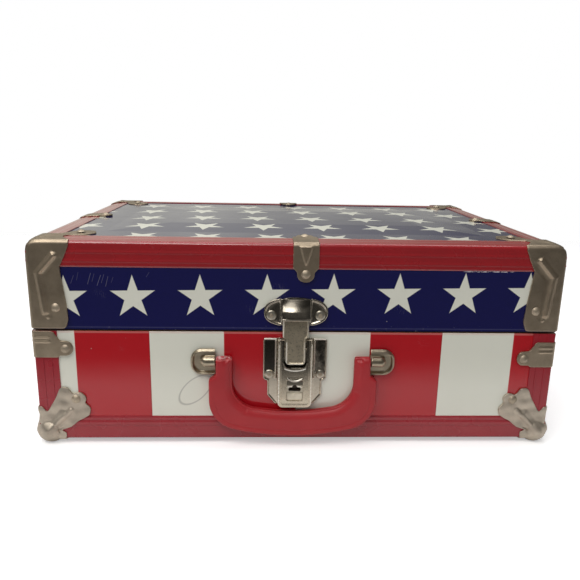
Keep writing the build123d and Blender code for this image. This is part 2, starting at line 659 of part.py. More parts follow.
def lever_tray():
    """The pressed lever: a shallow tray with a rim, a notch for the bolt and the lock's window."""
    half, low, high = LEVER_HALF_W, LEVER_BOTTOM, LEVER_TOP
    face_back = LEVER_FACE - LEVER_WALL
    r, wall, rim = LEVER_ROUND, LEVER_WALL, LEVER_RIM_W
    full = outline([(-half, low, r), (half, low, r), (half, high, 0.8), (-half, high, 0.8)])
    hollow = outline([
        (-half + wall, low + wall, r - wall), (half - wall, low + wall, r - wall),
        (half - wall, high + wall, 0), (-half + wall, high + wall, 0),
    ])
    inner_face = outline([
        (-half + rim, low + rim, r - rim), (half - rim, low + rim, r - rim), (half - rim, high + rim, 0),
        (-half + rim, high + rim, 0),
    ])
    tray = plate(LATCH, full, (LEVER_BACK, LEVER_FACE + LEVER_RIM_H))
    tray -= plate(LATCH, hollow, (LEVER_BACK, face_back))
    tray -= plate(LATCH, inner_face, (LEVER_FACE, LEVER_FACE + LEVER_RIM_H))
    tray -= block(LATCH, (-half, half), (LEVER_PIVOT_Z, high + 1), (LEVER_BACK, face_back))
    for sign in (-1, 1):
        span = sorted((sign * half, sign * (half - wall)))
        tray += rod(LATCH, span, LEVER_PIVOT_Z, LEVER_PIVOT_OUT, LATCH_EAR_R)
    nr = NOTCH_ROUND
    notch = outline([
        (-NOTCH_HALF_W, NOTCH_BOTTOM, nr), (NOTCH_HALF_W, NOTCH_BOTTOM, nr), (NOTCH_HALF_W, high + 1, 0),
        (-NOTCH_HALF_W, high + 1, 0),
    ])
    wr = WINDOW_ROUND
    window = outline([
        (-WINDOW_HALF_W, WINDOW_LOW, wr), (WINDOW_HALF_W, WINDOW_LOW, wr), (WINDOW_HALF_W, WINDOW_HIGH, wr),
        (-WINDOW_HALF_W, WINDOW_HIGH, wr),
    ])
    through = (face_back, LEVER_FACE + LEVER_RIM_H)
    tray -= plate(LATCH, notch, through) + plate(LATCH, window, through)
    brow_z, across = WINDOW_HIGH - BROW_DOWN, (-WINDOW_HALF_W, WINDOW_HALF_W)
    brow = rod(LATCH, across, brow_z, LEVER_FACE - BROW_R / 2, BROW_R)
    brow += block(LATCH, across, (brow_z, WINDOW_HIGH), (face_back, LEVER_FACE))
    tray += brow - block(LATCH, across, (brow_z - BROW_R, WINDOW_HIGH), (0, face_back))
    pins = [(LEVER_PIVOT_Z, LEVER_PIVOT_OUT, RUNNING_FIT), (BOLT_PIVOT_Z, BOLT_PIVOT_OUT, RIVET_FIT / 2)]
    return tray - [rod(LATCH, (-half, half), z, out, LATCH_PIN_R + fit) for z, out, fit in pins]


BOLT = Plane(LATCH * Pos(0, BOLT_PIVOT_Z, BOLT_PIVOT_OUT) * Rot(-BOLT_LEAN, 0, 0))


def draw_bolt():
    """The strap that reaches up under the keeper's hood, hung on two lugs in the lever."""
    narrow, wide, tail = BOLT_NARROW, BOLT_WIDE, -BOLT_TAIL
    shoulder = BOLT_SHOULDER + BOLT_SHOULDER_RUN
    face = outline([
        (-narrow, tail, BOLT_TAIL_ROUND), (narrow, tail, BOLT_TAIL_ROUND), (narrow, BOLT_SHOULDER, 1),
        (wide, shoulder, 1), (wide, BOLT_TOP, 2), (-wide, BOLT_TOP, 2), (-wide, shoulder, 1),
        (-narrow, BOLT_SHOULDER, 1),
    ])
    back = BOLT_OFFSET - BOLT_T / 2
    strap = plate(BOLT, face, (back, back + BOLT_T))
    for sign in (-1, 1):
        span = sorted((sign * (BOLT_LUG_AT - BOLT_LUG_T / 2), sign * (BOLT_LUG_AT + BOLT_LUG_T / 2)))
        strap += rod(BOLT, span, 0, 0, LATCH_EAR_R)
        strap += block(BOLT, span, (-LATCH_EAR_R, LATCH_EAR_R), (0, back))
    return strap - rod(BOLT, (-wide, wide), 0, 0, LATCH_PIN_R + RUNNING_FIT)


def latch_pin(z, out):
    """A pivot pin as long as the lever is wide."""
    return rod(LATCH, (-LEVER_HALF_W, LEVER_HALF_W), z, out, LATCH_PIN_R)


# ------------------------------------------------------------------ lock
def lock_plate():
    """The lock's face behind the lever's window, with the keyhole and the plug's housing."""
    front = LEVER_FACE - LEVER_WALL
    back = front - LOCK_PLATE_T
    lap = LOCK_PLATE_LAP
    half = LOCK_PLATE_HALF_W
    body = block(LATCH, (-half, half), (WINDOW_LOW - lap, WINDOW_HIGH + lap), (back, front))
    gap = LOCK_STEP_GAP
    step = (-WINDOW_HALF_W + gap, WINDOW_HALF_W - gap)
    body += block(LATCH, step, (WINDOW_LOW + WINDOW_ROUND, LOCK_STEP_TOP), (front, front + LOCK_STEP_H))
    collar = (back - PLUG_COLLAR_T, back)
    body += stud(LATCH, 0, LOCK_Z, collar, half)
    body -= stud(LATCH, 0, LOCK_Z, collar, PLUG_R + RUNNING_FIT)
    keyway = Pos(0, LOCK_Z) * Rectangle(2 * KEYHOLE_HALF_W, KEYHOLE_H)
    keyway += Pos(0, LOCK_Z + KEYHOLE_H / 2) * Circle(KEYHOLE_BUMP_R)
    return body - plate(LATCH, keyway, (back, front))


def lock_plug():
    """The turning plug behind the keyhole with its cam, pointing down when unlocked."""
    front = LEVER_FACE - LEVER_WALL - LOCK_PLATE_T - RUNNING_FIT
    back = front - PLUG_T
    plug = stud(LATCH, 0, LOCK_Z, (back, front), PLUG_R)
    slot = (LOCK_Z - PLUG_SLOT_W / 2, LOCK_Z + PLUG_SLOT_W / 2)
    plug -= block(LATCH, (-KEYHOLE_HALF_W, KEYHOLE_HALF_W), slot, (back, front))
    half, low, high = CAM_W / 2, LOCK_Z - CAM_REACH, LOCK_Z + CAM_W
    cam = outline([(-half, low, 1), (half, low, 1), (half, high, 1), (-half, high, 1)])
    return plug + plate(LATCH, cam, (back - CAM_T, back))


# ------------------------------------------------------------------ keeper
def latch_keeper():
    """The oval plate on the lid with the hood that the bolt reaches under."""
    oval = Pos(0, KEEPER_Z) * Ellipse(KEEPER_W / 2, KEEPER_H / 2)
    half, wall = HOOD_HALF_W, HOOD_WALL
    body = plate(LATCH, oval, (0, PRESSED))
    inner = half - wall
    open_foot = (KEEPER_Z - KEEPER_H / 2, HOOD_MOUTH_Z)
    body -= block(LATCH, (-inner, inner), open_foot, (0, PRESSED))
    side = Plane(origin=LATCH.origin, x_dir=LATCH.z_dir, z_dir=-LATCH.x_dir)
    profile = outline([
        (0, HOOD_MOUTH_Z, 0), (HOOD_OUT, HOOD_MOUTH_Z, 0), (HOOD_OUT, HOOD_BREAK_Z, 3),
        (HOOD_TOP_OUT, HOOD_TOP_Z, HOOD_ROUND), (0, HOOD_TOP_Z, 0),
    ])
    cavity = outline([
        (PRESSED, HOOD_MOUTH_Z, 0), (HOOD_OUT - wall, HOOD_MOUTH_Z, 0),
        (HOOD_OUT - wall, HOOD_BREAK_Z, 2.5),
        (HOOD_TOP_OUT - wall, HOOD_TOP_Z - wall, HOOD_ROUND - wall / 2), (PRESSED, HOOD_TOP_Z - wall, 0),
    ])
    body += side * extrude(profile, amount=half, both=True)
    return body - side * extrude(cavity, amount=inner, both=True)


# ------------------------------------------------------------------ handle
def handle_grip():
    """The moulded handle: a broad U with square arms, its arm ends rounded about the pivot."""
    high = HANDLE_PIVOT_Z + HANDLE_T
    shoulder_top = HANDLE_SHOULDER_Z + HANDLE_SHOULDER_RUN
    wide, arm, inner = HANDLE_HALF_W, HANDLE_ARM_OUTER, HANDLE_INNER
    outer = outline([
        (-wide, 0, 0), (wide, 0, 0), (wide, HANDLE_SHOULDER_Z, 1.5), (arm, shoulder_top, 1.5),
        (arm, high, 0),
        (-arm, high, 0), (-arm, shoulder_top, 1.5), (-wide, HANDLE_SHOULDER_Z, 1.5),
    ])
    outer &= Pos(0, HANDLE_BOTTOM + HANDLE_OUTER_ARC) * Circle(HANDLE_OUTER_ARC)
    low_points = outer.vertices().sort_by(Axis.Y)[:2]
    outer = fillet(low_points, HANDLE_OUTER_ROUND)
    gap = Pos(0, HANDLE_GRIP_TOP) * Rectangle(2 * inner, 2 * high, align=(Align.CENTER, Align.MIN))
    gap &= Pos(0, HANDLE_GRIP_TOP + HANDLE_INNER_ARC) * Circle(HANDLE_INNER_ARC)
    gap = fillet(gap.vertices().sort_by(Axis.Y)[:2], HANDLE_INNER_ROUND)
    shape = plate(HANDLE, outer - gap, (HANDLE_BACK, HANDLE_BACK + HANDLE_T))
    reach = (-wide, wide)
    arms = block(HANDLE, reach, (0, HANDLE_PIVOT_Z), (HANDLE_BACK, HANDLE_BACK + HANDLE_T))
    arms += rod(HANDLE, reach, HANDLE_PIVOT_Z, HANDLE_PIVOT_OUT, HANDLE_T / 2)
    shape &= arms
    by_depth = shape.faces().sort_by(Axis.Y)
    shape = fillet(by_depth[0].edges() + by_depth[-1].edges(), HANDLE_EDGE)
    ends = [(-arm, -arm + HANDLE_PIN_IN), (arm - HANDLE_PIN_IN, arm)]
    bore = HANDLE_PIN_R + RIVET_FIT / 2
    return shape - [rod(HANDLE, span, HANDLE_PIVOT_Z, HANDLE_PIVOT_OUT, bore) for span in ends]


def handle_pin(sign):
    """A pivot pin: in the arm at one end, headed inside the bracket's cup at the other."""
    arm = HANDLE_ARM_OUTER
    neck = arm + BRACKET_GAP + CUP_WALL + BRACKET_GAP
    shank = sorted((sign * (arm - HANDLE_PIN_IN), sign * neck))
    head = sorted((sign * neck, sign * (neck + HANDLE_PIN_HEAD_T)))
    pin = rod(HANDLE, shank, HANDLE_PIVOT_Z, HANDLE_PIVOT_OUT, HANDLE_PIN_R)
    return pin + rod(HANDLE, head, HANDLE_PIVOT_Z, HANDLE_PIVOT_OUT, HANDLE_PIN_HEAD_R)


def bracket_tab_places():
    """Heights of a bracket's two tabs above the trims."""
    return [BRACKET_Z + sign * TAB_PITCH / 2 for sign in (-1, 1)]


def bracket_inner(sign):
    """The side of a bracket that faces the handle."""
    return sign * (HANDLE_ARM_OUTER + BRACKET_GAP)


def tab_block(sign, z, spare):
    """One tab through the wall, or its slot when spare is more than nothing."""
    middle = bracket_inner(sign) + sign * TAB_IN
    across = (middle - TAB_W / 2 - spare, middle + TAB_W / 2 + spare)
    up = (z - TAB_T / 2 - spare, z + TAB_T / 2 + spare)
    return block(HANDLE, across, up, (-BASE_DEEP, 0))


def handle_bracket(sign):
    """A pressed cup on a rounded plate, held by two tabs bent over inside the case."""
    near = bracket_inner(sign)
    far = near + sign * BRACKET_W
    half = BRACKET_H / 2
    r = BRACKET_ROUND
    points = [(near, -half, 0.6), (near, half, 0.6), (far, half, r), (far, -half, r)]
    face = outline([(x, BRACKET_Z + z, r) for x, z, r in points])
    cup_end = near + sign * (CUP_LEN - CUP_R)

    def cup(radius, start):
        """The domed channel over the pin's head, for one radius."""
        span = sorted((start, cup_end))
        z, out = HANDLE_PIVOT_Z, HANDLE_PIVOT_OUT
        channel = rod(HANDLE, span, z, out, radius)
        channel += block(HANDLE, span, (z - radius, z + radius), (0, out))
        end = stud(HANDLE, cup_end, z, (0, out), radius) + HANDLE * Pos(cup_end, z, out) * Sphere(radius)
        return channel + end

    body = plate(HANDLE, face, (0, PRESSED)) + cup(CUP_R, near)
    body -= cup(CUP_R - CUP_WALL, near + sign * CUP_WALL)
    spread = sorted((near, near + sign * 2 * CUP_WALL))
    body -= rod(HANDLE, spread, HANDLE_PIVOT_Z, HANDLE_PIVOT_OUT, HANDLE_PIN_R + RUNNING_FIT)
    for z in bracket_tab_places():
        body += tab_block(sign, z, 0)
        middle = near + sign * TAB_IN
        across = (middle - TAB_W / 2, middle + TAB_W / 2)
        away = math.copysign(1, z - BRACKET_Z)
        bent = sorted((z - away * TAB_T / 2, z + away * TAB_W))
        body += block(HANDLE, across, bent, (-BASE_DEEP - TAB_T, -BASE_DEEP))
    return body


# ------------------------------------------------------------------ the assembly
parts = {}
tab_slots = [tab_block(sign, z, TAB_FIT) for sign in (-1, 1) for z in bracket_tab_places()]
base_cutters = BASE_BORES + tab_slots

# lid
lid_trims = edge_trims(LID_TRIM_LEG, TOP, True, TOP_RISE / RISE_RUN)
lid_block = domed(SKIN_W, SKIN_D, LID_LOW - FOLD_ROUND, LID_SKIN_TOP)
lid_body = lid_block + list(lid_trims.values())
lid_shell = case_shell(LID_LOW, TOP + PRESSED, lid_body, True)
board_w, board_d = SKIN_W - 2 * TIN, SKIN_D - 2 * TIN
lid_board = domed(board_w, board_d, LID_WALL_TOP, LID_BOARD_TOP)
parts["lid_top_board"] = lid_board
front, back, sides = wall_boards(LID_BOARD, LID_LOW, LID_WALL_TOP)
parts["lid_front_board"] = front
parts["lid_back_board"] = back
parts["lid_side_boards"] = sides
parts["lid_top_skin"] = domed(SKIN_W, SKIN_D, LID_BOARD_TOP, LID_SKIN_TOP) - lid_board
parts["lid_side_skin"] = ring_wall(SKIN_W, SKIN_D, TIN, LID_LOW, LID_BOARD_TOP)
parts["lid_lining"] = lining_tray(LID_BOARD, LID_LOW, LID_WALL_TOP, LID_WALL_TOP - LINING, LID_WALL_TOP)
for side, strip in lid_trims.items():
    parts[f"lid_trim_{side}"] = strip
tall_corner = lid_corner(lid_shell, lid_body)
for name, (x_side, y_side) in CORNERS.items():
    parts[f"lid_corner_{name}"] = to_corner(tall_corner, x_side, y_side)
for side in SIDES:
    parts[f"lid_clamp_{side}"] = edge_clamp(lid_shell, side)
parts["latch_keeper"] = latch_keeper()
for name, sign in (("left", 1), ("right", -1)):
    parts[f"hinge_leaf_lid_{name}"] = hinge_leaf(sign, True)
for name in list(parts):
    solids = parts[name] if isinstance(parts[name], list) else [parts[name]]
    parts[name] = [pierced(solid, LID_BORES) for solid in solids]
parts["lid_rivets"] = LID_RIVETS

# base
base = {}
base_trims = edge_trims(BASE_TRIM_LEG, FOOT_DROP, False, 0)
post = post_trim()
posts = [to_corner(post, x_side, y_side) for x_side, y_side in CORNERS.values()]
base_body = slab(SKIN_W, SKIN_D, BASE_SKIN_LOW, SEAM + FOLD_ROUND) + list(base_trims.values()) + posts
base_shell = case_shell(FOOT_DROP - PRESSED, SEAM, base_body, False)
base["base_bottom_board"] = slab(board_w, board_d, BASE_BOARD_LOW, BASE_FLOOR)
front, back, sides = wall_boards(BASE_BOARD, BASE_FLOOR, SEAM)
base["base_front_board"] = front
base["base_back_board"] = back
base["base_side_boards"] = sides
base["base_side_skin"] = ring_wall(SKIN_W, SKIN_D, TIN, BASE_SKIN_LOW, SEAM)
base["base_bottom_skin"] = slab(board_w, board_d, BASE_SKIN_LOW, BASE_BOARD_LOW)
rim_low = SEAM - RIM_DOWN
base["base_lining"] = lining_tray(BASE_BOARD, BASE_FLOOR, rim_low, BASE_FLOOR, BASE_FLOOR + LINING)
inside_w, inside_d = board_w - 2 * BASE_BOARD, board_d - 2 * BASE_BOARD
base["rim_strip"] = ring_wall(inside_w, inside_d, RIM_T, rim_low, SEAM + RIM_UP)
for side, strip in base_trims.items():
    base[f"base_trim_{side}"] = strip
base["base_post_trims"] = posts
foot_corner = ball_corner(base_shell, base_body)
clamp = corner_clamp(base_shell)
for name, (x_side, y_side) in CORNERS.items():
    base[f"base_corner_{name}"] = to_corner(foot_corner, x_side, y_side)
    drop = corner_clamp_drop("front", x_side) if y_side < 0 else 0.0
    base[f"base_clamp_{name}"] = Pos(0, 0, -drop) * to_corner(clamp, x_side, y_side)
base["latch_plate"] = latch_plate()
for name, sign in (("left", 1), ("right", -1)):
    base[f"hinge_leaf_base_{name}"] = hinge_leaf(sign, False)
for name in list(base):
    solids = base[name] if isinstance(base[name], list) else [base[name]]
    base[name] = [pierced(solid, base_cutters) for solid in solids]
base["handle_bracket_left"] = [handle_bracket(-1)]
base["handle_bracket_right"] = [handle_bracket(1)]
base["base_rivets"] = BASE_RIVETS
base["hinge_pins"] = [hinge_pin(sign) for sign in (-1, 1)]
parts.update(base)

# handle, latch and lock
parts["handle_grip"] = [handle_grip()]
parts["handle_pins"] = [handle_pin(sign) for sign in (-1, 1)]
parts["latch_lever"] = [lever_tray()]
parts["latch_lever_pin"] = [latch_pin(LEVER_PIVOT_Z, LEVER_PIVOT_OUT)]
parts["latch_bolt"] = [draw_bolt()]
parts["latch_bolt_pin"] = [latch_pin(BOLT_PIVOT_Z, BOLT_PIVOT_OUT)]
parts["lock_plate"] = [lock_plate()]
parts["lock_plug"] = [lock_plug()]

os.makedirs("parts", exist_ok=True)
for name, solids in parts.items():
    placed = [Pos(0, CASE_Y, 0) * solid for solid in solids]
    single = [piece for group in placed for piece in group.solids()]
    export_step(Compound(children=single) if len(single) > 1 else single[0], f"parts/{name}.step")
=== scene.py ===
import json
import math
from functools import reduce

import bmesh
import bpy
import numpy as np
from mathutils import Matrix, Vector

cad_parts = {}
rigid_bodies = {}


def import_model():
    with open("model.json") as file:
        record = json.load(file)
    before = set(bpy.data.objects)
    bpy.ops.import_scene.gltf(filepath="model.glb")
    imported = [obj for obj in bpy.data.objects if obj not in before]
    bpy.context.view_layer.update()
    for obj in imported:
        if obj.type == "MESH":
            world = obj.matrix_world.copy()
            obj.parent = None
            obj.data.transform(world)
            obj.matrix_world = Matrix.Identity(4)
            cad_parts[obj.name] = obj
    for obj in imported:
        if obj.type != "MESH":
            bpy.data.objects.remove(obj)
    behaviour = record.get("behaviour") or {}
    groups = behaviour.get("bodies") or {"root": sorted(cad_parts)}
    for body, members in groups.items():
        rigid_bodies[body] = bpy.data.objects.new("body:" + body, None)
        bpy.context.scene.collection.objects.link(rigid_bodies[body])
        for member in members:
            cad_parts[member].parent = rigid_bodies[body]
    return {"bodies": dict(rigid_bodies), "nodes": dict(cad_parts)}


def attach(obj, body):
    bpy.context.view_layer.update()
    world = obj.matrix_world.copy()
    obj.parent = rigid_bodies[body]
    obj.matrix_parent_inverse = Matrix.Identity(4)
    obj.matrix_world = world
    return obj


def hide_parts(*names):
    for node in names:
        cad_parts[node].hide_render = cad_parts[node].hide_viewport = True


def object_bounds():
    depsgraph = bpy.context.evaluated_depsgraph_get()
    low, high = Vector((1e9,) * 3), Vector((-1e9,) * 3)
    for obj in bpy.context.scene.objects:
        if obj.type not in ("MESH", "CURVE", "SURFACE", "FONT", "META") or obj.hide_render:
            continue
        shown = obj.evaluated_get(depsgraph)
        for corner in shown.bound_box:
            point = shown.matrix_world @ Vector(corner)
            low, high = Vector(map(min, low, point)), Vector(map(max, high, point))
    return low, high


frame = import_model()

CAD_BOX = [list(corner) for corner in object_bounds()]
MM = 0.001  # a millimetre in the scene's metres

# The photograph, for the camera alone: pixels, degrees of yaw, pitch and roll, and metres.
PHOTO_PIXELS, FOCAL_PIXELS, SENSOR = 580, 598.3, 36
TURNS, EYE = (2.61, 14.24, 1.17), (-0.028, -0.57795, 0.2395)

# Places of the case, in millimetres in the row frame (the floor is z = 0).
CASE_W, CASE_D, CASE_Y = 406.0, 280.5, 1.75  # over the trims' faces, and their middle
SKIN_W, SKIN_D = 404.4, 278.9  # over the printed bands
FRONT = CASE_Y - SKIN_D / 2  # the front panel's face
TRIM_FRONT = CASE_Y - CASE_D / 2  # the face of the trims over it
FOOT = 4.0  # the base trims' underside
SEAM = 94.0  # between lid and base
TOP = 163.5  # the fold of the lid's trims
TRIM, TRIM_LEG = 0.8, 19.6  # thickness of the trims, and width of each leg
TOP_RISE = 1.1  # of the lid's top under a leg

# Rounding of the lid beyond the solids': how far in, and from how far off.
SIDE_IN, SIDE_REACH = 1.9, 8.5
END_IN, END_REACH = 0.4, 5.0  # front and back
TIP_IN, TIP_REACH = 1.2, 17.0

# Fittings on the front. Heights on the latch count from FOOT.
LATCH_X, HANDLE_X = -3.0, -4.3
KEEPER_Z, KEEPER_HALF_W, KEEPER_HALF_H = 106.5, 24.5, 11.5
HOOD_HALF_W, HOOD_MOUTH, HOOD_TOP = 11.0, 101.5, 117.0
KEEPER_RIVET, PLATE_RIVET = (18.8, 103.9), (20.0, 55.8)
PLATE_FOLD = 14.9  # the folds beside the lever
LEVER_FOOT, LEVER_HALF_W = 30.5, 11.9
ARM_OUTER, ARM_MIDDLE = 60.0, 53.7  # the handle's arms, out from HANDLE_X
ARM_TOP = 76.8
BRACKET_Z, BRACKET_W, BRACKET_H, BRACKET_ROUND = 70.2, 19.3, 21.6, 9.0
BRACKET_GAP = 0.4  # from the handle's arm
LEAF, EDGE = 0.9, 1.5  # a corner's leaf is this near its face, and this far from the next


# ---------------- stage
def new_object(name, data):
    made = bpy.data.objects.new(name, data)
    bpy.context.scene.collection.objects.link(made)
    return made


def make_camera():
    """The photograph's view: perspective fitted to the case's corners."""
    yaw, pitch, roll = map(math.radians, TURNS)
    ahead = Vector((math.sin(yaw) * math.cos(pitch), math.cos(yaw) * math.cos(pitch), -math.sin(pitch)))
    right = Vector((math.cos(yaw), -math.sin(yaw), 0))
    up = right.cross(ahead)
    side = math.cos(roll) * right + math.sin(roll) * up
    rise = -math.sin(roll) * right + math.cos(roll) * up
    data = bpy.data.cameras.new("camera")
    data.sensor_width = SENSOR
    data.lens = SENSOR * FOCAL_PIXELS / PHOTO_PIXELS
    data.clip_start, data.clip_end = 0.01, 30
    camera = new_object("camera", data)
    turn = Matrix((side, rise, -ahead)).transposed().to_4x4()
    camera.matrix_world = Matrix.Translation(EYE) @ turn
    bpy.context.scene.camera = camera


def soft_box(name, place, target, size, watts, tint=(1, 1, 1)):
    """A rectangular soft light, turned to its target."""
    data = bpy.data.lights.new(name, "AREA")
    data.shape = "RECTANGLE"
    data.size, data.size_y = size
    data.energy = watts
    data.color = tint
    light = new_object(name, data)
    light.location = place
    light.rotation_euler = (Vector(target) - Vector(place)).to_track_quat("-Z", "Y").to_euler()


def make_world(ambient, gloss):
    """White to the camera, dim to reflections, soft grey to everything else."""
    world = bpy.data.worlds.new("studio")
    bpy.context.scene.world = world
    world.use_nodes = True
    tree = world.node_tree
    tree.nodes.clear()
    out = tree.nodes.new("ShaderNodeOutputWorld")
    back = tree.nodes.new("ShaderNodeBackground")
    path = tree.nodes.new("ShaderNodeLightPath")
    glossy = tree.nodes.new("ShaderNodeMix")
    seen = tree.nodes.new("ShaderNodeMix")
    glossy.data_type = seen.data_type = "RGBA"
    glossy.inputs["A"].default_value = (*ambient, 1)
    glossy.inputs["B"].default_value = (*gloss, 1)
    seen.inputs["B"].default_value = (1, 1, 1, 1)
    tree.links.new(path.outputs["Is Glossy Ray"], glossy.inputs["Factor"])
    tree.links.new(glossy.outputs["Result"], seen.inputs["A"])
    tree.links.new(path.outputs["Is Camera Ray"], seen.inputs["Factor"])
    tree.links.new(seen.outputs["Result"], back.inputs["Color"])
    tree.links.new(back.outputs["Background"], out.inputs["Surface"])
    back.inputs["Strength"].default_value = 1.0


def stage_sheet(name, corners):
    """A four-cornered sheet of the set, not of the trunk."""
    mesh = bpy.data.meshes.new(name)
    mesh.from_pydata(corners, [], [(0, 1, 2, 3)])
    sheet = new_object(name, mesh)
    return sheet


def make_floor(front, reach, fade):
    """A pale table top whose edges fade out: it takes the shadow and shows in the gloss of the case."""
    floor = stage_sheet("floor", [(-reach, front, 0), (reach, front, 0), (reach, reach, 0),
                                  (-reach, reach, 0)])
    p = Paint("pale_floor", roughness=0.9, specular_ior_level=0.0)
    p.color((0.86, 0.86, 0.86))
    ways = ((p.y, front, front + fade), (p.size(p.x), reach, reach - fade), (p.y, reach, reach - fade))
    fades = [p.step(place, edge / MM, inside / MM) for place, edge, inside in ways]
    lift = p.node("Emission")
    p.put(lift.inputs["Strength"], p.mul(p.node("LightPath").outputs["Is Camera Ray"], 0.42))
    lit = p.node("AddShader")
    p.link(p.bsdf.outputs[0], lit.inputs[0])
    p.link(lift.outputs[0], lit.inputs[1])
    p.show(p.least(*fades), lit)
    floor.data.materials.append(p.mat)


def make_backdrop():
    """A sheet far behind the trunk that only shows in gloss: light at the left, dim at the right."""
    x, y, top = 3.0, 1.9, 1.6
    sheet = stage_sheet("backdrop", [(-x, y, 0), (x, y, 0), (x, y, top), (-x, y, top)])
    p = Paint("gloss_backdrop")
    across = p.step(p.x, 900, -500)
    low = p.m("POWER", p.step(p.z, 490, 345), 1.7)
    shine = p.add(p.mul(across, 0.43), 0.17, p.mul(low, p.sub(0.27, p.mul(across, 0.24))))
    cloud = p.step(p.noise(0.0022, 2.0), 0.3, 0.7)
    lamp = p.node("Emission")
    lamp.inputs["Color"].default_value = (1, 0.985, 0.87, 1)
    p.put(lamp.inputs["Strength"], p.mul(shine, p.add(p.mul(cloud, 0.24), 0.88)))
    p.show(p.node("LightPath").outputs["Is Glossy Ray"], lamp)
    sheet.data.materials.append(p.mat)


def make_stage():
    make_world(ambient=(0.30, 0.30, 0.31), gloss=(0.10, 0.098, 0.095))
    make_floor(front=-0.32, reach=0.9, fade=0.07)
    make_backdrop()
    soft_box("key", (-0.55, -0.9, 1.5), (0, 0, 0.08), (1.3, 0.7), 17, (1, 0.985, 0.955))
    soft_box("overhead", (0.0, 0.25, 1.6), (0, 0.05, 0.1), (1.6, 1.0), 12)
    bpy.context.scene.view_settings.view_transform = "Standard"


# ---------------- materials
class Paint:
    """A procedural material, written as sums on sockets. Lengths are in millimetres."""

    def __init__(self, name, **values):
        self.mat = bpy.data.materials.new(name)
        self.mat.use_nodes = True
        self.tree = self.mat.node_tree
        self.tree.nodes.clear()
        self.out = self.node("OutputMaterial")
        self.bsdf = self.node("BsdfPrincipled")
        self.link(self.bsdf.outputs["BSDF"], self.out.inputs["Surface"])
        coord = self.node("TexCoord")
        split = self.node("SeparateXYZ")
        self.link(coord.outputs["Object"], split.inputs[0])
        self.x, self.y, self.z = [self.mul(split.outputs[i], 1 / MM) for i in range(3)]
        facing = self.node("SeparateXYZ")
        self.link(coord.outputs["Normal"], facing.inputs[0])
        self.nx, self.ny = facing.outputs[:2]
        for key, value in values.items():
            self.bsdf.inputs[key.replace("_", " ").title().replace("Ior", "IOR")].default_value = value

    def node(self, kind):
        return self.tree.nodes.new("ShaderNode" + kind)

    def link(self, a, b):
        self.tree.links.new(a, b)

    def put(self, socket, value):
        if isinstance(value, bpy.types.NodeSocket):
            self.link(value, socket)
        elif isinstance(value, (tuple, list)) and len(value) == 3 and socket.type == "RGBA":
            socket.default_value = (*value, 1)
        else:
            socket.default_value = value

    def m(self, op, a, b=0.0, c=0.0):
        node = self.node("Math")
        node.operation = op
        for socket, value in zip(node.inputs, (a, b, c)):
            self.put(socket, value)
        return node.outputs[0]

    def chain(self, op, terms):
        return reduce(lambda a, b: self.m(op, a, b), terms)

    def add(self, *terms):
        return self.chain("ADD", terms)

    def mul(self, *factors):
        return self.chain("MULTIPLY", factors)

    def most(self, *masks):
        return self.chain("MAXIMUM", masks)

    def least(self, *masks):
        return self.chain("MINIMUM", masks)

    def sub(self, a, b):
        return self.m("SUBTRACT", a, b)

    def size(self, a):
        return self.m("ABSOLUTE", a)

    def far(self, u, v):
        return self.m("SQRT", self.add(self.mul(u, u), self.mul(v, v)))

    def step(self, value, low, high):
        """0 below low, 1 above high, straight between (low may be above high)."""
        node = self.node("MapRange")
        node.clamp = True
        for socket, v in zip(node.inputs, (value, low, high, 0.0, 1.0)):
            self.put(socket, v)
        return node.outputs[0]

    def near(self, value, centre, half, soft):
        """1 within half of the centre, falling to 0 over the soft edge."""
        return self.step(self.size(self.sub(value, centre)), half + soft, half)

    def patch(self, a, span_a, soft_a, b, span_b, soft_b):
        """1 inside a rectangle of two spans, each a centre and a half width."""
        return self.mul(self.near(a, *span_a, soft_a), self.near(b, *span_b, soft_b))

    def over(self, colour, mask, strength, code):
        """The colour with another, a hex code, laid over it."""
        return self.mix(self.mul(mask, strength), colour, rgb(code))

    def mix(self, factor, a, b):
        node = self.node("Mix")
        node.data_type = "RGBA"
        self.put(node.inputs["Factor"], factor)
        self.put(node.inputs["A"], a)
        self.put(node.inputs["B"], b)
        return node.outputs["Result"]

    def blend(self, factor, a, b):
        node = self.node("Mix")
        self.put(node.inputs[0], factor)
        self.put(node.inputs[2], a)
        self.put(node.inputs[3], b)
        return node.outputs[0]

    def vector(self, x, y, z):
        node = self.node("CombineXYZ")
        for socket, value in zip(node.inputs, (x, y, z)):
            self.put(socket, value)
        return node.outputs[0]

    def noise(self, scale, detail=2.0, rough=0.5, vector=None):
        """Cloudy noise, about scale features a millimetre."""
        node = self.node("TexNoise")
        self.put(node.inputs["Vector"], vector or self.vector(self.x, self.y, self.z))
        node.inputs["Scale"].default_value = scale
        node.inputs["Detail"].default_value = detail
        node.inputs["Roughness"].default_value = rough
        return node.outputs[0]

    def cells(self, scale):
        """Distance to the nearest of scattered points."""
        node = self.node("TexVoronoi")
        self.put(node.inputs["Vector"], self.vector(self.x, self.y, self.z))
        node.inputs["Scale"].default_value = scale
        return node.outputs["Distance"]

    def segment(self, u, v, start, end, half, soft):
        """1 along the line from start to end in (u, v)."""
        du, dv = end[0] - start[0], end[1] - start[1]
        long = math.hypot(du, dv)
        pu, pv = self.sub(u, start[0]), self.sub(v, start[1])
        along = self.add(self.mul(pu, du / long), self.mul(pv, dv / long))
        aside = self.add(self.mul(pu, -dv / long), self.mul(pv, du / long))
        return self.mul(self.near(aside, 0, half, soft), self.near(along, long / 2, long / 2 - soft, soft))

    def show(self, factor, shader):
        """Make the surface this shader where the factor is 1, and clear where it is 0."""
        both = self.node("MixShader")
        self.put(both.inputs[0], factor)
        self.link(self.node("BsdfTransparent").outputs[0], both.inputs[1])
        self.link(shader.outputs[0], both.inputs[2])
        self.link(both.outputs[0], self.out.inputs["Surface"])

    def color(self, value):
        self.put(self.bsdf.inputs["Base Color"], value)

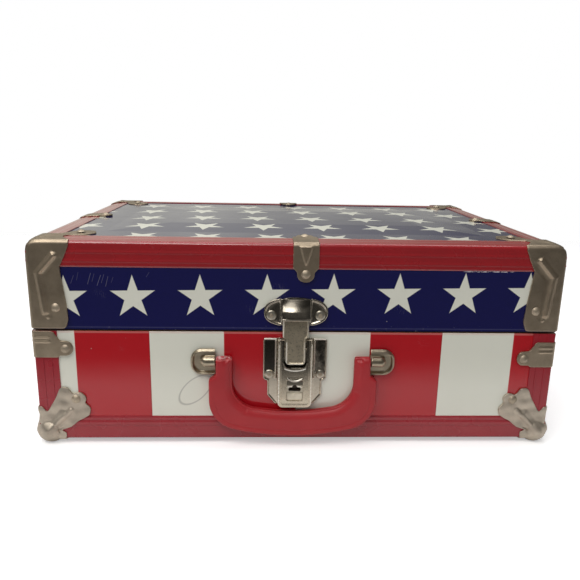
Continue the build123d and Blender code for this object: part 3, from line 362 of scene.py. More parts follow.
    def rough(self, value):
        self.put(self.bsdf.inputs["Roughness"], value)

    def bump(self, height, distance):
        """Height in 0..1, distance in millimetres."""
        node = self.node("Bump")
        node.inputs["Strength"].default_value = 1.0
        node.inputs["Distance"].default_value = distance * MM
        self.put(node.inputs["Height"], height)
        self.link(node.outputs["Normal"], self.bsdf.inputs["Normal"])


def rgb(code):
    """A linear colour from a hex code as it looks on screen."""
    parts = [int(code[i:i + 2], 16) / 255 for i in (0, 2, 4)]
    return tuple(p / 12.92 if p <= 0.04045 else ((p + 0.055) / 1.055) ** 2.4 for p in parts)


NAVY, RED, WHITE = rgb("10114A"), rgb("B0141E"), rgb("E0E0D2")
# The first colour is that of sandy pits; the second is the dark that painted shade and painted dark
# reflections on the latch mix towards.
PIT, PAINTED_SHADE = (0.06, 0.052, 0.043), (0.035, 0.032, 0.027)
GOLDEN = 0.381966  # a star's inner radius over its outer one

# The print, in millimetres along the band from the front's middle or across the top.
STAR_PITCH = 50.6
BAND_STAR_R, BAND_STAR_Z, BAND_TILT = 17.5, 118.7, 0.0159
TOP_STAR_R, TOP_STAR_X, TOP_STAR_BACK, TOP_ROW_SHIFT = 17.75, 123.9, 26.0, 5.8
STRIPE, STRIPE_START = 56.9, 172.2
SCUFF_X, SCUFF_Z, SCUFF_LONG, SCUFF_WIDE = -81.0, 41.7, 15.7, 8.2
SCRATCHES = (  # start, its height, lean, height of the end, strength
    (-172.0, 131.0, 2.6, 137.5, 0.5), (-167.5, 133.5, 1.6, 140.0, 0.35), (-159.6, 130.5, 2.9, 139.5, 0.8),
    (-156.2, 132.5, 2.0, 139.0, 0.45), (-152.6, 129.5, 3.2, 138.0, 0.9), (-149.4, 131.5, 2.4, 138.5, 0.6),
    (-146.3, 129.0, 2.2, 137.0, 0.75), (-142.0, 132.0, 1.7, 136.5, 0.4), (-116.0, 136.5, 2.6, 140.5, 0.4))


def star(p, u, v, radius, soft=0.2):
    """A five-pointed star's mask round u = v = 0, its single point towards +v."""
    fifth = 2 * math.pi / 5
    far = p.far(u, v)
    angle = p.m("ARCTAN2", u, v)
    fold = p.size(p.sub(p.m("FLOORED_MODULO", p.add(angle, fifth / 2), fifth), fifth / 2))
    a, b = p.mul(far, p.m("COSINE", fold)), p.mul(far, p.m("SINE", fold))
    inner = GOLDEN * radius
    ex, ey = inner * math.cos(fifth / 2) - radius, inner * math.sin(fifth / 2)
    long = math.hypot(ex, ey)
    out = p.add(p.mul(p.sub(a, radius), ey / long), p.mul(b, -ex / long))
    return p.step(out, soft, -soft)


def centred(p, value, pitch):
    """The value folded into one pitch, 0 at its middle."""
    return p.sub(p.m("FLOORED_MODULO", value, pitch), pitch / 2)


def round_the_case(p):
    """Distance along the printed band from the front's middle: round the sides and on to the back."""
    side = p.mul(p.m("SIGN", p.x), p.add(p.sub(p.y, FRONT), SKIN_W / 2))
    back = p.sub(SKIN_W + SKIN_D, p.x)
    on_side = p.step(p.size(p.nx), 0.5, 0.51)
    on_back = p.step(p.ny, 0.5, 0.51)
    return p.blend(on_back, p.blend(on_side, p.x, side), back)


def on_front(p):
    """1 on what faces the front."""
    return p.step(p.ny, -0.5, -0.6)


def lacquer(p, colour, scuffs):
    """Gloss over print: specks, scuffs and soft waves in the sheet."""
    specks = p.mul(p.step(p.cells(0.09), 0.05, 0.03), p.step(p.noise(0.017, 1.0), 0.56, 0.62))
    colour = p.over(colour, specks, 0.5, "B9B4B0")
    p.color(p.over(colour, scuffs, 0.32, "A9A6B4"))
    p.rough(p.add(p.mul(p.noise(0.05, 3.0, 0.6), 0.16), p.mul(scuffs, 0.15), 0.06))
    p.bump(p.add(p.mul(p.noise(0.016, 1.0), 0.9), p.mul(p.noise(0.12, 2.0), 0.03)), 0.55)


def hair_lines(p, stretch, cover):
    """Fine scratches that run mostly one way, in patches; stretch squeezes the (x, y, z) field."""
    field = p.vector(*[p.mul(axis, s) for axis, s in zip((p.x, p.y, p.z), stretch)])
    line = p.near(p.noise(1.0, 2.0, 0.5, field), 0.5, 0.006, 0.012)
    return p.mul(line, p.step(p.noise(0.03, 1.0), 1 - cover, 1.08 - cover))


def printed_tin(name):
    """The glossy start of each printed sheet."""
    return Paint(name, coat_weight=0.3, coat_roughness=0.05)


def printed_lid_band():
    """White stars on navy, with a turned hem along the seam shown by a painted highlight line over a painted
    shadow strip.
    """
    p = printed_tin("printed_lid_band")
    s, front = round_the_case(p), on_front(p)
    tilt = p.mul(p.mul(s, BAND_TILT), front)
    height = p.sub(p.sub(p.z, BAND_STAR_Z + FOOT), tilt)
    colour = p.mix(star(p, centred(p, s, STAR_PITCH), height, BAND_STAR_R), NAVY, WHITE)
    # The hem along the seam: a painted highlight line, and below it a painted shadow strip.
    colour = p.over(colour, p.near(p.z, SEAM + 3.2, 0.2, 0.35), 0.4, "53557A")
    colour = p.over(colour, p.step(p.z, SEAM + 2.2, SEAM + 1.6), 0.5, "070714")
    worn = p.mul(p.step(p.z, SEAM + 6.5, SEAM + 1.5), p.step(p.noise(0.5, 4.0, 0.7), 0.66, 0.69))
    colour = p.over(colour, worn, 0.8, "9A9AA0")
    under_trim = p.patch(p.z, (TOP - TRIM_LEG - 0.4, 0.35), 0.3, s, (145, 17), 4)
    chips = p.mul(under_trim, front, p.step(p.noise(0.45, 3.0, 0.6), 0.42, 0.56))
    colour = p.over(colour, chips, 0.8, "E6DFE2")
    marks = [p.mul(p.segment(s, p.z, (start, low), (start + lean, high), 0.04, 0.28), faint)
             for start, low, lean, high, faint in SCRATCHES]
    hairs = p.mul(hair_lines(p, (0.9, 0.9, 0.12), 0.3), 0.6)
    lacquer(p, colour, p.most(p.mul(p.most(*marks), front), hairs))
    return p.mat


def scuff_loop(p, s):
    """The faint oval mark on the white stripe beside the handle."""
    across, up = p.sub(s, SCUFF_X), p.sub(p.z, SCUFF_Z + FOOT)
    long = p.m("DIVIDE", p.add(p.mul(across, 0.72), p.mul(up, 0.69)), SCUFF_LONG)
    wide = p.m("DIVIDE", p.sub(p.mul(across, 0.69), p.mul(up, 0.72)), SCUFF_WIDE)
    return p.mul(p.near(p.far(long, wide), 1.0, 0.025, 0.06), on_front(p))


def printed_base_band():
    """Red and white stripes, with the print a little out of register at their edges, and a painted highlight
    on the rolled top edge under the seam.
    """
    p = printed_tin("printed_base_band")
    s = round_the_case(p)
    along = p.m("FLOORED_MODULO", p.add(s, STRIPE_START), 2 * STRIPE)
    red = p.mul(p.step(along, 0.0, 0.25), p.step(along, STRIPE + 0.2, STRIPE - 0.05))
    colour = p.mix(red, WHITE, RED)
    colour = p.over(colour, p.near(along, STRIPE - 0.3, 0.2, 0.2), 0.5, "7E0D18")
    colour = p.over(colour, p.near(along, -0.1, 0.3, 0.3), 0.45, "E8A39E")
    # A painted highlight along the rolled top edge under the seam.
    colour = p.over(colour, p.near(p.z, SEAM - 0.8, 0.5, 0.5), 0.3, "E0A79E")
    colour = p.over(colour, scuff_loop(p, s), 0.5, "85817B")
    lacquer(p, colour, p.mul(hair_lines(p, (0.12, 0.12, 0.9), 0.3), 0.5))
    return p.mat


def printed_top():
    """Rows of stars that point to the front, each row shifted from the last."""
    p = printed_tin("printed_top")
    behind = p.sub(p.sub(p.y, TRIM_FRONT), TOP_STAR_BACK - STAR_PITCH / 2)
    row = p.m("FLOOR", p.m("DIVIDE", behind, STAR_PITCH))
    across = p.add(p.x, p.mul(row, TOP_ROW_SHIFT), TOP_STAR_X + STAR_PITCH / 2)
    inverted = p.mul(centred(p, behind, STAR_PITCH), -1)
    colour = p.mix(star(p, centred(p, across, STAR_PITCH), inverted, TOP_STAR_R), NAVY, WHITE)
    nicks = p.mul(p.step(p.cells(0.05), 0.045, 0.03), p.step(p.noise(0.02, 1.0), 0.5, 0.55))
    lacquer(p, colour, p.most(nicks, p.mul(hair_lines(p, (0.5, 0.12, 0.5), 0.35), 0.6)))
    return p.mat


def trim_paint(name, light, dark, gloss=0.25):
    """The red of the rolled trims, rubbed in places."""
    p = Paint(name, coat_weight=gloss, coat_roughness=0.12)
    dull = p.noise(0.03, 3.0, 0.6)
    rub = p.step(p.noise(0.25, 4.0, 0.7), 0.62, 0.8)
    p.color(p.over(p.mix(dull, rgb(light), rgb(dark)), rub, 0.1, "C9868A"))
    p.rough(p.add(p.mul(dull, 0.16), 0.2))
    p.bump(p.noise(0.3, 3.0), 0.05)
    return p.mat


def nickel(name, code, rough, speckle, grain=0.1, painted_shade=None, painted_highlight=None, grit=1.0):
    """Worn nickel plate: cloudy tarnish, sandy pits and a little scratching.
    rough is its range; the two optional functions give painted shade and dark reflections (darker) and
    painted highlights (lighter and less metallic) from place to place."""
    p = Paint(name, metallic=1.0)
    tone, (low, high) = rgb(code), rough
    cloud = p.noise(0.05, 4.0, 0.62)
    colour = p.mix(p.step(cloud, 0.35, 0.7), tone, tuple(c * 0.7 for c in tone))
    pits = p.step(p.noise(1.1 * grit, 5.0, 0.8), 0.58 - 0.1 * (1 - grit), 0.7)
    colour = p.mix(p.mul(pits, speckle), colour, PIT)
    bright = p.step(p.noise(1.7, 4.0, 0.8), 0.62, 0.7)
    colour = p.mix(p.mul(bright, speckle * 0.5), colour, tuple(min(1, c * 1.5) for c in tone))
    # Painted shade and painted dark reflections, then painted highlights that also make the metal less
    # metallic there.
    if painted_shade:
        colour = p.mix(painted_shade(p), colour, PAINTED_SHADE)
    if painted_highlight:
        edge = painted_highlight(p)
        colour = p.over(colour, edge, 1.0, "FFFBEE")
        p.put(p.bsdf.inputs["Metallic"], p.sub(1.0, p.mul(edge, 0.9)))
    p.color(colour)
    p.rough(p.add(p.mul(p.noise(0.5, 4.0, 0.7), high - low), low))
    p.bump(p.add(p.mul(p.noise(0.9, 4.0, 0.75), 0.6), p.mul(p.noise(0.1, 2.0), 0.5)), grain)
    return p.mat


def latch_place(p):
    """Signed and plain distance across from the latch's middle, and height above the trims."""
    across = p.sub(p.x, LATCH_X)
    return across, p.size(across), p.sub(p.z, FOOT)


def plate_shade(p):
    """Painted dark reflection: the flanges beside the lever mirror a dark room down to their rivets, a little
    less in patches on the right.
    """
    across, off, up = latch_place(p)
    flange = p.patch(off, (19.8, 3.9), 0.5, up, (71.0, 12.8), 0.8)
    lit = p.mul(p.step(across, 0, 1), p.step(p.noise(0.16, 3.0), 0.4, 0.65))
    return p.mul(flange, p.sub(0.95, p.mul(lit, 0.45)))


def plate_painted_highlight(p):
    """Painted highlights on the plate's upper edges and on its folds beside the lever."""
    _, off, up = latch_place(p)
    top = p.patch(off, (19.3, 4.6), 0.4, up, (84.9, 0.45), 0.35)
    fold = p.patch(off, (PLATE_FOLD, 0.25), 0.3, up, (70, 13.5), 1.0)
    return p.add(p.mul(top, 0.75), p.mul(fold, 0.3))


def lever_shade(p):
    """Painted dark reflection, darkest towards its top and none at its foot."""
    _, off, up = latch_place(p)
    face = p.step(off, 12.1, 11.3)
    fall = p.add(p.mul(p.step(up, 36, 47), 0.34), p.mul(p.step(up, 50, 66), 0.5))
    return p.mul(face, fall)


def lever_painted_highlight(p):
    """Painted highlights on the raised edges, and a smile-shaped painted highlight under the bolt."""
    across, off, up = latch_place(p)
    edge = p.patch(off, (12.6, 0.3), 0.3, up, (57, 24.5), 2.0)
    bowed = p.sub(up, p.mul(across, across, 0.027))
    smile = p.patch(bowed, (60.5, 0.3), 0.35, off, (0, 8.0), 0.5)
    return p.most(p.mul(edge, 0.5), p.mul(smile, 0.85))


def lock_shade(p):
    """Painted shade in the keyhole, and a painted shadow in the window above it."""
    _, off, up = latch_place(p)
    lens = p.step(p.add(p.size(p.sub(up, 45.0)), p.mul(off, 0.25)), 1.8, 1.4)
    hole = p.mul(lens, p.near(off, 0, 5.0, 0.3))
    recess = p.add(p.mul(p.step(up, 41.6, 42.2), 0.3), p.mul(p.step(up, 47.6, 48.8), 0.55))
    return p.most(p.mul(hole, 0.97), recess)


def lock_painted_highlight(p):
    """A painted highlight on the edge over the keyhole."""
    _, off, up = latch_place(p)
    sloped = p.add(up, p.mul(off, 0.22))
    return p.mul(p.patch(sloped, (47.9, 0.3), 0.3, off, (0, 5.2), 0.5), 0.7)


def bolt_painted_highlight(p):
    """A painted highlight on the bolt's turned edge, stronger on the left towards the light."""
    across, off, up = latch_place(p)
    low = p.patch(off, (6.9, 0.35), 0.35, up, (74.5, 9.0), 0.5)
    high = p.patch(off, (9.5, 0.35), 0.35, up, (93.0, 6.5), 1.0)
    foot = p.patch(up, (66.3, 0.4), 0.3, off, (0, 6.4), 0.8)
    left = p.add(0.35, p.mul(p.step(across, 2, -2), 0.3))
    return p.add(p.mul(p.most(low, high), left), p.mul(foot, 0.6))


def keeper_shade(p):
    """Painted dark reflections in the fields beside the hood, and over the hood but for a patch in its
    middle.
    """
    across, off, up = latch_place(p)
    u, v = p.m("DIVIDE", across, KEEPER_HALF_W), p.m("DIVIDE", p.sub(up, KEEPER_Z), KEEPER_HALF_H)
    inside = p.step(p.far(u, v), 0.86, 0.78)
    field = p.mul(inside, p.step(off, HOOD_HALF_W, HOOD_HALF_W + 0.6), 0.62)
    dark = p.most(p.mul(p.step(up, 107.5, 112.0), 0.8), p.mul(p.step(off, 4.0, 9.5), 0.65),
                  p.mul(p.step(up, 106.0, 103.5), 0.6))
    cloud = p.mul(p.step(p.noise(0.3, 3.0, 0.6), 0.35, 0.65), 0.4)
    on_hood = p.mul(p.step(off, HOOD_HALF_W - 0.1, HOOD_HALF_W - 0.6),
                    p.step(up, HOOD_MOUTH + 0.8, HOOD_MOUTH + 1.7))
    return p.most(field, p.mul(on_hood, p.most(dark, cloud)))


def handle_plastic():
    """Moulded red plastic, pale where the left arm's tip is worn."""
    p = Paint("handle_plastic")
    colour = p.mix(p.noise(0.05, 3.0), rgb("B2262B"), rgb("9E1E25"))
    left_arm = p.step(p.x, -50, -52)
    worn = p.mul(p.step(p.z, ARM_TOP - 3.3, ARM_TOP), left_arm, p.step(p.noise(0.45, 3.0, 0.6), 0.42, 0.56))
    colour = p.over(colour, worn, 0.75, "E5C9C6")
    uneven = p.add(p.z, p.mul(p.noise(0.6, 2.0), 0.8))
    line = p.mul(p.near(uneven, ARM_TOP - 2.8, 0.15, 0.3), left_arm)
    p.color(p.over(colour, line, 0.6, "E07B78"))
    p.rough(p.add(p.mul(p.noise(0.4, 3.0, 0.6), 0.2), 0.3))
    p.bump(p.add(p.mul(p.noise(1.1, 3.0, 0.7), 0.7), p.mul(p.noise(0.05, 1.0), 0.4)), 0.24)
    return p.mat


def matt(name, scale, rough, light, dark, dullness, depth, squeeze=1.0):
    """Matt board: one noise gives its colour, roughness and relief; squeeze draws the noise out level."""
    p = Paint(name)
    grain = p.noise(scale, 5.0, rough, p.vector(p.mul(p.x, squeeze), p.mul(p.y, squeeze), p.z))
    p.color(p.mix(grain, rgb(light), rgb(dark)))
    p.rough(p.add(p.mul(grain, 0.2), dullness))
    p.bump(grain, depth)
    return p.mat


def paper_lining():
    """Cream paper with old stains."""
    p = Paint("paper_lining")
    fibre = p.noise(1.4, 5.0, 0.7)
    stain = p.step(p.noise(0.012, 4.0, 0.6), 0.42, 0.75)
    colour = p.mix(fibre, rgb("D9CFB8"), rgb("CFC3A8"))
    p.color(p.mix(p.mul(stain, 0.5), colour, rgb("B79F78")))
    p.rough(p.add(p.mul(fibre, 0.15), 0.76))
    p.bump(fibre, 0.1)
    return p.mat


def plain_tin():
    """Unprinted tin, under the case."""
    p = Paint("plain_tin", metallic=0.9)
    cloud = p.noise(0.04, 5.0, 0.65)
    p.color(p.mix(cloud, rgb("8C8C8A"), rgb("6E6B66")))
    p.rough(p.add(p.mul(cloud, 0.2), 0.35))
    p.bump(p.noise(0.3, 3.0), 0.1)
    return p.mat


# ---------------- pieces
def dress(names, material):
    """Give CAD nodes a material."""
    for name in names:
        data = frame["nodes"][name].data
        data.materials.clear()
        data.materials.append(material)
        for face in data.polygons:
            face.material_index = 0


def nodes_with(*starts):
    """The CAD nodes whose names start in any of these ways."""
    return [name for name in frame["nodes"] if name.startswith(starts)]


def body_of(node):
    """The body a CAD node belongs to."""
    return next(name for name, empty in frame["bodies"].items() if empty == frame["nodes"][node].parent)


def fit(piece, body, node=None):
    """Seat a piece on a body, and in place of a CAD node where it has one."""
    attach(piece, body)
    if node:
        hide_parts(node)


def kept_inside(points):
    """The points with any that stand past the CAD box, across it or below it, eased back to it."""
    edge, soft = CAD_BOX[1][0] / MM, 0.9
    far = np.abs(points[:, 0]) - (edge - soft)
    eased = edge - soft * np.exp(-np.maximum(far, 0) / soft)
    points[:, 0] = np.where(far > 0, np.sign(points[:, 0]) * eased, points[:, 0])
    points[:, 2] = np.maximum(points[:, 2], 0)
    return points


def press(node, material, cell, rounds, shape=None):
    """A soft-edged copy of a CAD node that stands for it, remeshed in cells and smoothed in rounds.
    shape takes the points in millimetres and gives how far each moves."""
    piece = new_object(node + "_pressed", frame["nodes"][node].data.copy())
    remesh = piece.modifiers.new("remesh", "REMESH")
    remesh.mode = "VOXEL"
    remesh.voxel_size = cell * MM
    soften = piece.modifiers.new("soften", "SMOOTH")
    soften.iterations = rounds
    ready = bpy.context.evaluated_depsgraph_get()
    mesh = bpy.data.meshes.new_from_object(piece.evaluated_get(ready))
    piece.modifiers.clear()
    piece.data = mesh
    if shape:
        flat = np.empty(len(mesh.vertices) * 3, dtype=np.float32)
        mesh.vertices.foreach_get("co", flat)
        points = flat.reshape(-1, 3).astype(float) / MM
        points += shape(points)
        mesh.vertices.foreach_set("co", (kept_inside(points) * MM).astype(np.float32).ravel())
        mesh.update()
    mesh.shade_smooth()
    mesh.materials.clear()
    mesh.materials.append(material)
    fit(piece, body_of(node), node)


def bead(u, v, path, half, height):
    """A rounded ridge along a path of (u, v) points."""
    gap = np.full(len(u), np.inf)
    for (a, b), (c, d) in zip(path, path[1:]):
        du, dv = c - a, d - b
        t = np.clip(((u - a) * du + (v - b) * dv) / (du * du + dv * dv), 0, 1)
        gap = np.minimum(gap, np.hypot(u - a - t * du, v - b - t * dv))
    return np.where(gap < half, height * (0.5 + 0.5 * np.cos(np.pi * np.minimum(gap / half, 1))), 0)


def ripple(points, amount, length, seed):
    """Gentle unevenness of hand-fitted sheet."""
    rng = np.random.default_rng(seed)
    total = np.zeros(len(points))
    for _ in range(5):
        way = rng.normal(size=3)
        way *= 2 * np.pi / (length * rng.uniform(0.7, 1.6) * np.linalg.norm(way))
        total += np.sin(points @ way + rng.uniform(0, 6.3))
    return amount * total / 3


def rise(value, low, high):
    """0 below low, 1 above high, eased between."""
    t = np.clip((value - low) / (high - low), 0, 1)
    return t * t * (3 - 2 * t)


def from_corner(points, sx, sy):
    """Distances in from the side and end trims' faces of one corner of the case."""
    return CASE_W / 2 - sx * points[:, 0], CASE_D / 2 - sy * (points[:, 1] - CASE_Y)


def lid_rounding(points):
    """How far the lid's rolled folds and its four tips are rounded in from sharp corners."""
    side = CASE_W / 2 - np.abs(points[:, 0])
    end = CASE_D / 2 - np.abs(points[:, 1] - CASE_Y)
    down = TOP - points[:, 2]
    sx, sy = np.sign(points[:, 0]), np.sign(points[:, 1] - CASE_Y)

    def pull(amount, reach, *depths):
        far = np.sqrt(sum(depth * depth for depth in depths))
        return amount * (1 - np.clip(far / reach, 0, 1)) ** 2 / math.sqrt(len(depths))

    along_side, along_end = pull(SIDE_IN, SIDE_REACH, side, down), pull(END_IN, END_REACH, end, down)
    tip = pull(TIP_IN, TIP_REACH, side, end, down)
    return -np.stack((sx * (along_side + tip), sy * (along_end + tip), along_side + along_end + tip), axis=1)


def leaf_push(points, sx, sy, over_side, over_end, over_flat, up):
    """Moves a corner pressing's three leaves outwards by three height fields."""
    side, end = from_corner(points, sx, sy)
    on_side = (side < LEAF) & (end > EDGE)
    on_end = (end < LEAF) & (side > EDGE)
    on_flat = ~on_side & ~on_end & (side > EDGE) & (end > EDGE)
    move = np.zeros_like(points)
    move[:, 0] = np.where(on_side, sx * over_side, 0)
    move[:, 1] = np.where(on_end, sy * over_end, 0)
    move[:, 2] = np.where(on_flat, up * over_flat, 0)
    return move


def lid_corner_shape(sx, sy):
    """An angular bead and a dimple on each tall leaf, an uneven top leaf."""
    ridge = ((20.5, 10.6), (8.4, 24.1), (11.2, 53.6))
    furrow = [(a + 4.4, d + 2.6) for a, d in ridge]

    def shape(points):
        side, end = from_corner(points, sx, sy)
        down = TOP - points[:, 2]
        waves = ripple(points, 0.14, 22, 3)

        def tall(across):
            lump = bead(across, down, ridge, 3.4, 1.25)
            hollow = bead(across, down, furrow, 2.6, 0.3)
            pip = bead(across, down, ((13.2, 58.0), (13.3, 58.3)), 1.8, 0.6)
            return (lump - hollow + pip + waves) * rise(across, EDGE, 5)

        inward = np.minimum(side, end)
        top = (bead(side, end, ((9, 9), (24, 24)), 4, 0.6) + waves) * rise(inward, EDGE, 5)
        top -= 0.75 * rise(inward, 12, 22)
        return leaf_push(points, sx, sy, tall(end), tall(side), top, 1) + lid_rounding(points)
    return shape


def ball_corner_shape(sx, sy):
    """A strong rib out of the ball into each leaf, creased on both sides."""
    def shape(points):
        side, end = from_corner(points, sx, sy)
        up = points[:, 2] - FOOT

        def leaf(a, b):
            rib = bead(a, b, ((5.0, 6.0), (13.0, 16.0), (18.0, 22.5)), 4.2, 1.1)
            return rib - bead(a, b, ((12.0, 4.5), (18.0, 9.5)), 2.2, 0.5)

        def notch(a, b):
            return 4.0 * np.exp(-((b - 8.0) / 1.7) ** 2) * rise(a, 13, 20)

        waves = ripple(points, 0.05, 20, 5)
        move = leaf_push(points, sx, sy, leaf(end, up) + waves, leaf(side, up) + waves, waves, -1)
        dents = ripple(points, 0.25, 9, 8) * (np.minimum(side, end) < EDGE)
        move[:, 0] += sx * (dents * (side < EDGE) + notch(side, up) * (end < EDGE))
        move[:, 1] += sy * (dents * (end < EDGE) + notch(end, up) * (side < EDGE))
        return move
    return shape


def clamp_shape(side, shift):
    """A V-shaped dart below the fold of a lid clamp."""
    dart_long = 18.0

    def shape(points):
        if side in ("front", "back"):
            across, facing = points[:, 0] - shift, 1 if side == "back" else -1
            out = facing * (points[:, 1] - CASE_Y) - CASE_D / 2
            way = np.array((0.0, facing, 0.0))
        else:
            across, facing = points[:, 1] - CASE_Y, 1 if side == "right" else -1
            out = facing * points[:, 0] - CASE_W / 2
            way = np.array((facing, 0.0, 0.0))
        down = TOP - points[:, 2]
        upright = (out > -LEAF) & (down > 1)
        half = 5.4 * (1 - down / dart_long)
        dart = rise(half - np.abs(across) + 1.0, 0, 2.2) * rise(down, 1.2, 2.4)
        dart *= rise(dart_long - 0.5 - down, 0, 3)
        return np.outer(dart * upright, way) + lid_rounding(points)
    return shape


def corner_clamp_shape(sx, sy, top):
    """Two short level ribs on each leaf, near the case's edge."""
    def shape(points):
        side, end = from_corner(points, sx, sy)
        down = top - points[:, 2]

        def ribs(across):
            return sum(bead(across, down, ((2.5, level), (12, level)), 1.3, 0.55) for level in (4.6, 8.2))
        return leaf_push(points, sx, sy, ribs(end), ribs(side), 0 * side, 1)
    return shape


def outline_gap(node, points):
    """Distance in the front view from each point to the outer edge of a node's forward faces."""
    mesh = frame["nodes"][node].data
    spots = [(round(vertex.co.x / MM, 2), round(vertex.co.z / MM, 2), round(vertex.co.y / MM, 1))
             for vertex in mesh.vertices]
    edges = {}
    for face in mesh.polygons:
        if face.normal.y < -0.93:
            ring = [spots[i] for i in face.vertices]
            for a, b in zip(ring, ring[1:] + ring[:1]):
                key = tuple(sorted((a, b)))
                edges[key] = edges.get(key, 0) + 1
    free = [key for key, count in edges.items() if count == 1]
    loops = {}
    for a, b in free:
        both = loops.get(a, {a}) | loops.get(b, {b})
        for spot in both:
            loops[spot] = both
    widest = max(loops.values(), key=lambda loop: np.ptp([s[0] for s in loop]) + np.ptp([s[1] for s in loop]))
    gap = np.full(len(points), np.inf)
    for a, b in free:
        if a in widest:
            du, dv = b[0] - a[0], b[1] - a[1]
            t = ((points[:, 0] - a[0]) * du + (points[:, 2] - a[1]) * dv) / max(du * du + dv * dv, 1e-9)
            t = np.clip(t, 0, 1)
            gap = np.minimum(gap, np.hypot(points[:, 0] - a[0] - t * du, points[:, 2] - a[1] - t * dv))
    return gap


def forward(amount):
    """Moves straight out of the front."""
    return np.outer(amount, (0.0, -1.0, 0.0))


def rim(gap, width, height):
    """A turned-up edge."""
    return height * (1 - rise(gap, width * 0.5, width))


def keeper_shape(points):
    """Turned-up rim, and a rounded hood with a thickened mouth."""
    out = FRONT - points[:, 1]
    across, up = np.abs(points[:, 0] - LATCH_X), points[:, 2] - FOOT
    hood, crown = (across < HOOD_HALF_W + 0.2) * rise(out, 1.2, 2.4), (across / HOOD_HALF_W) ** 2
    swell = 1.1 * np.sin(np.pi * np.clip((up - HOOD_MOUTH + 1.5) / 17.5, 0, 1)) * (1 - 0.55 * crown)
    mouth = 0.5 * np.exp(-((up - HOOD_MOUTH - 0.4) / 0.8) ** 2)
    fall = np.clip((up - HOOD_MOUTH) / (HOOD_TOP - HOOD_MOUTH), 0, 1)
    sink = (out - 1.4) * 0.95 * (1 - np.cos(fall * np.pi / 2)) + 1.3 * crown * np.sin(np.pi * fall)
    edge = rim(outline_gap("latch_keeper", points), 1.9, 0.9) * (across > HOOD_HALF_W - 0.8)
    move = forward(edge * (1 - hood) + hood * (swell + mouth - sink))
    power = 2.7  # of a superellipse, blunter than an ellipse
    u, v = (points[:, 0] - LATCH_X) / KEEPER_HALF_W, (up - KEEPER_Z) / KEEPER_HALF_H
    far = np.hypot(u, v) + 1e-6
    blunt = ((np.abs(u) / far) ** power + (np.abs(v) / far) ** power) ** (-1 / power) - 1
    grow = 0.9 * blunt * np.clip(far, 0, 1) ** 5 * (across > HOOD_HALF_W + 0.3)
    # The hood's inside is kept clear of the bolt.
    inside = (across > HOOD_HALF_W - 2.0) & (across < HOOD_HALF_W - 0.8) & (out > 1.6) & (up < 112)
    move[:, 0] += grow * u * KEEPER_HALF_W + 0.5 * inside * np.sign(u)
    move[:, 2] += grow * v * KEEPER_HALF_H
    return move


def plate_shape(points):
    """Turned-up rim, and a fold on each side of the lever."""
    across, up = np.abs(points[:, 0] - LATCH_X), points[:, 2] - FOOT
    folds = bead(across, up, ((PLATE_FOLD, 53.0), (PLATE_FOLD, 83.5)), 0.9, 0.9)
    edge = rim(outline_gap("latch_plate", points), 1.5, 0.6) * rise(across, 13.8, 14.6)
    return forward(folds + edge)


def lever_shape(points):
    """A light raised edge, a lip round the notch, and a foot pressed level."""
    across, up = points[:, 0] - LATCH_X, points[:, 2] - FOOT
    right = ((3.5, 62.2), (7.2, 63.6), (8.4, 67.0))
    notch = bead(across, up, [(-a, b) for a, b in reversed(right)] + list(right), 1.3, 0.6)
    out = FRONT - points[:, 1]
    foot = (out > 5.5) * (up < LEVER_FOOT + 5.0) * (np.abs(across) < LEVER_HALF_W)
    level = foot * np.minimum(0, 6.9 - out)
    edge = rim(outline_gap("latch_lever", points), 1.5, 0.45) * rise(up, LEVER_FOOT, LEVER_FOOT + 5.5)
    return forward(notch + edge + level)


def bolt_shape(points):
    """A turned-up rim, and a wider part between the lever and the hood."""
    up = points[:, 2] - FOOT
    move = forward(rim(outline_gap("latch_bolt", points), 1.5, 0.7))
    wider = 0.055 * rise(up, 82.5, 84.5) * rise(HOOD_MOUTH - up, 0, 2.5)
    move[:, 0] += (points[:, 0] - LATCH_X) * wider
    return move


def bracket_shape(sign):
    """A D-shaped cup: a rolled rim and a hooded upper half round the pin's roll."""
    def shape(points):
        start = HANDLE_X + sign * (ARM_OUTER + BRACKET_GAP)
        s, t = sign * (points[:, 0] - start), points[:, 2] - BRACKET_Z
        out = FRONT - points[:, 1]
        turn = BRACKET_W - BRACKET_ROUND
        level = BRACKET_H / 2 - BRACKET_ROUND
        gap = np.minimum(BRACKET_H / 2 - np.abs(t), BRACKET_W - s)
        rounded = (s > turn) & (np.abs(t) > level)
        gap = np.where(rounded, BRACKET_ROUND - np.hypot(s - turn, np.abs(t) - level), gap)
        roll = rise(3.2 - gap, 0, 1.8) * 2.2 - rise(0.9 - gap, 0, 0.9) * 0.9
        hood = rise(t, 5.2, 6.2) * rise(gap, 0.2, 1.6) * 3.4
        plate = 1 - rise(out, 2.0, 3.2)
        return forward(np.maximum(roll, hood) * plate)
    return shape


def handle_shape(points):
    """A fine parting groove round the outer edge, a well rounded inner one, and soft hand-moulded sides."""
    gap = outline_gap("handle_grip", points)
    front = points[:, 1] < FRONT - 6.5
    bend, fall = 60, 43  # where the arms' middle line starts to bend in, and how far it falls
    across, drop = np.abs(points[:, 0] - HANDLE_X) / ARM_MIDDLE, np.maximum(bend - points[:, 2], 0) / fall
    inner = rise(1.12 - across ** 4 - drop ** 4, 0, 0.24)
    groove = 0.35 * np.exp(-((gap - 3.6) / 0.5) ** 2) * (points[:, 2] < 45) * (1 - inner)
    roll = 2.4 * (1 - np.clip(gap / 6.0, 0, 1)) ** 2 * inner
    return forward(ripple(points, 0.12, 30, 11) - (groove + roll) * front)


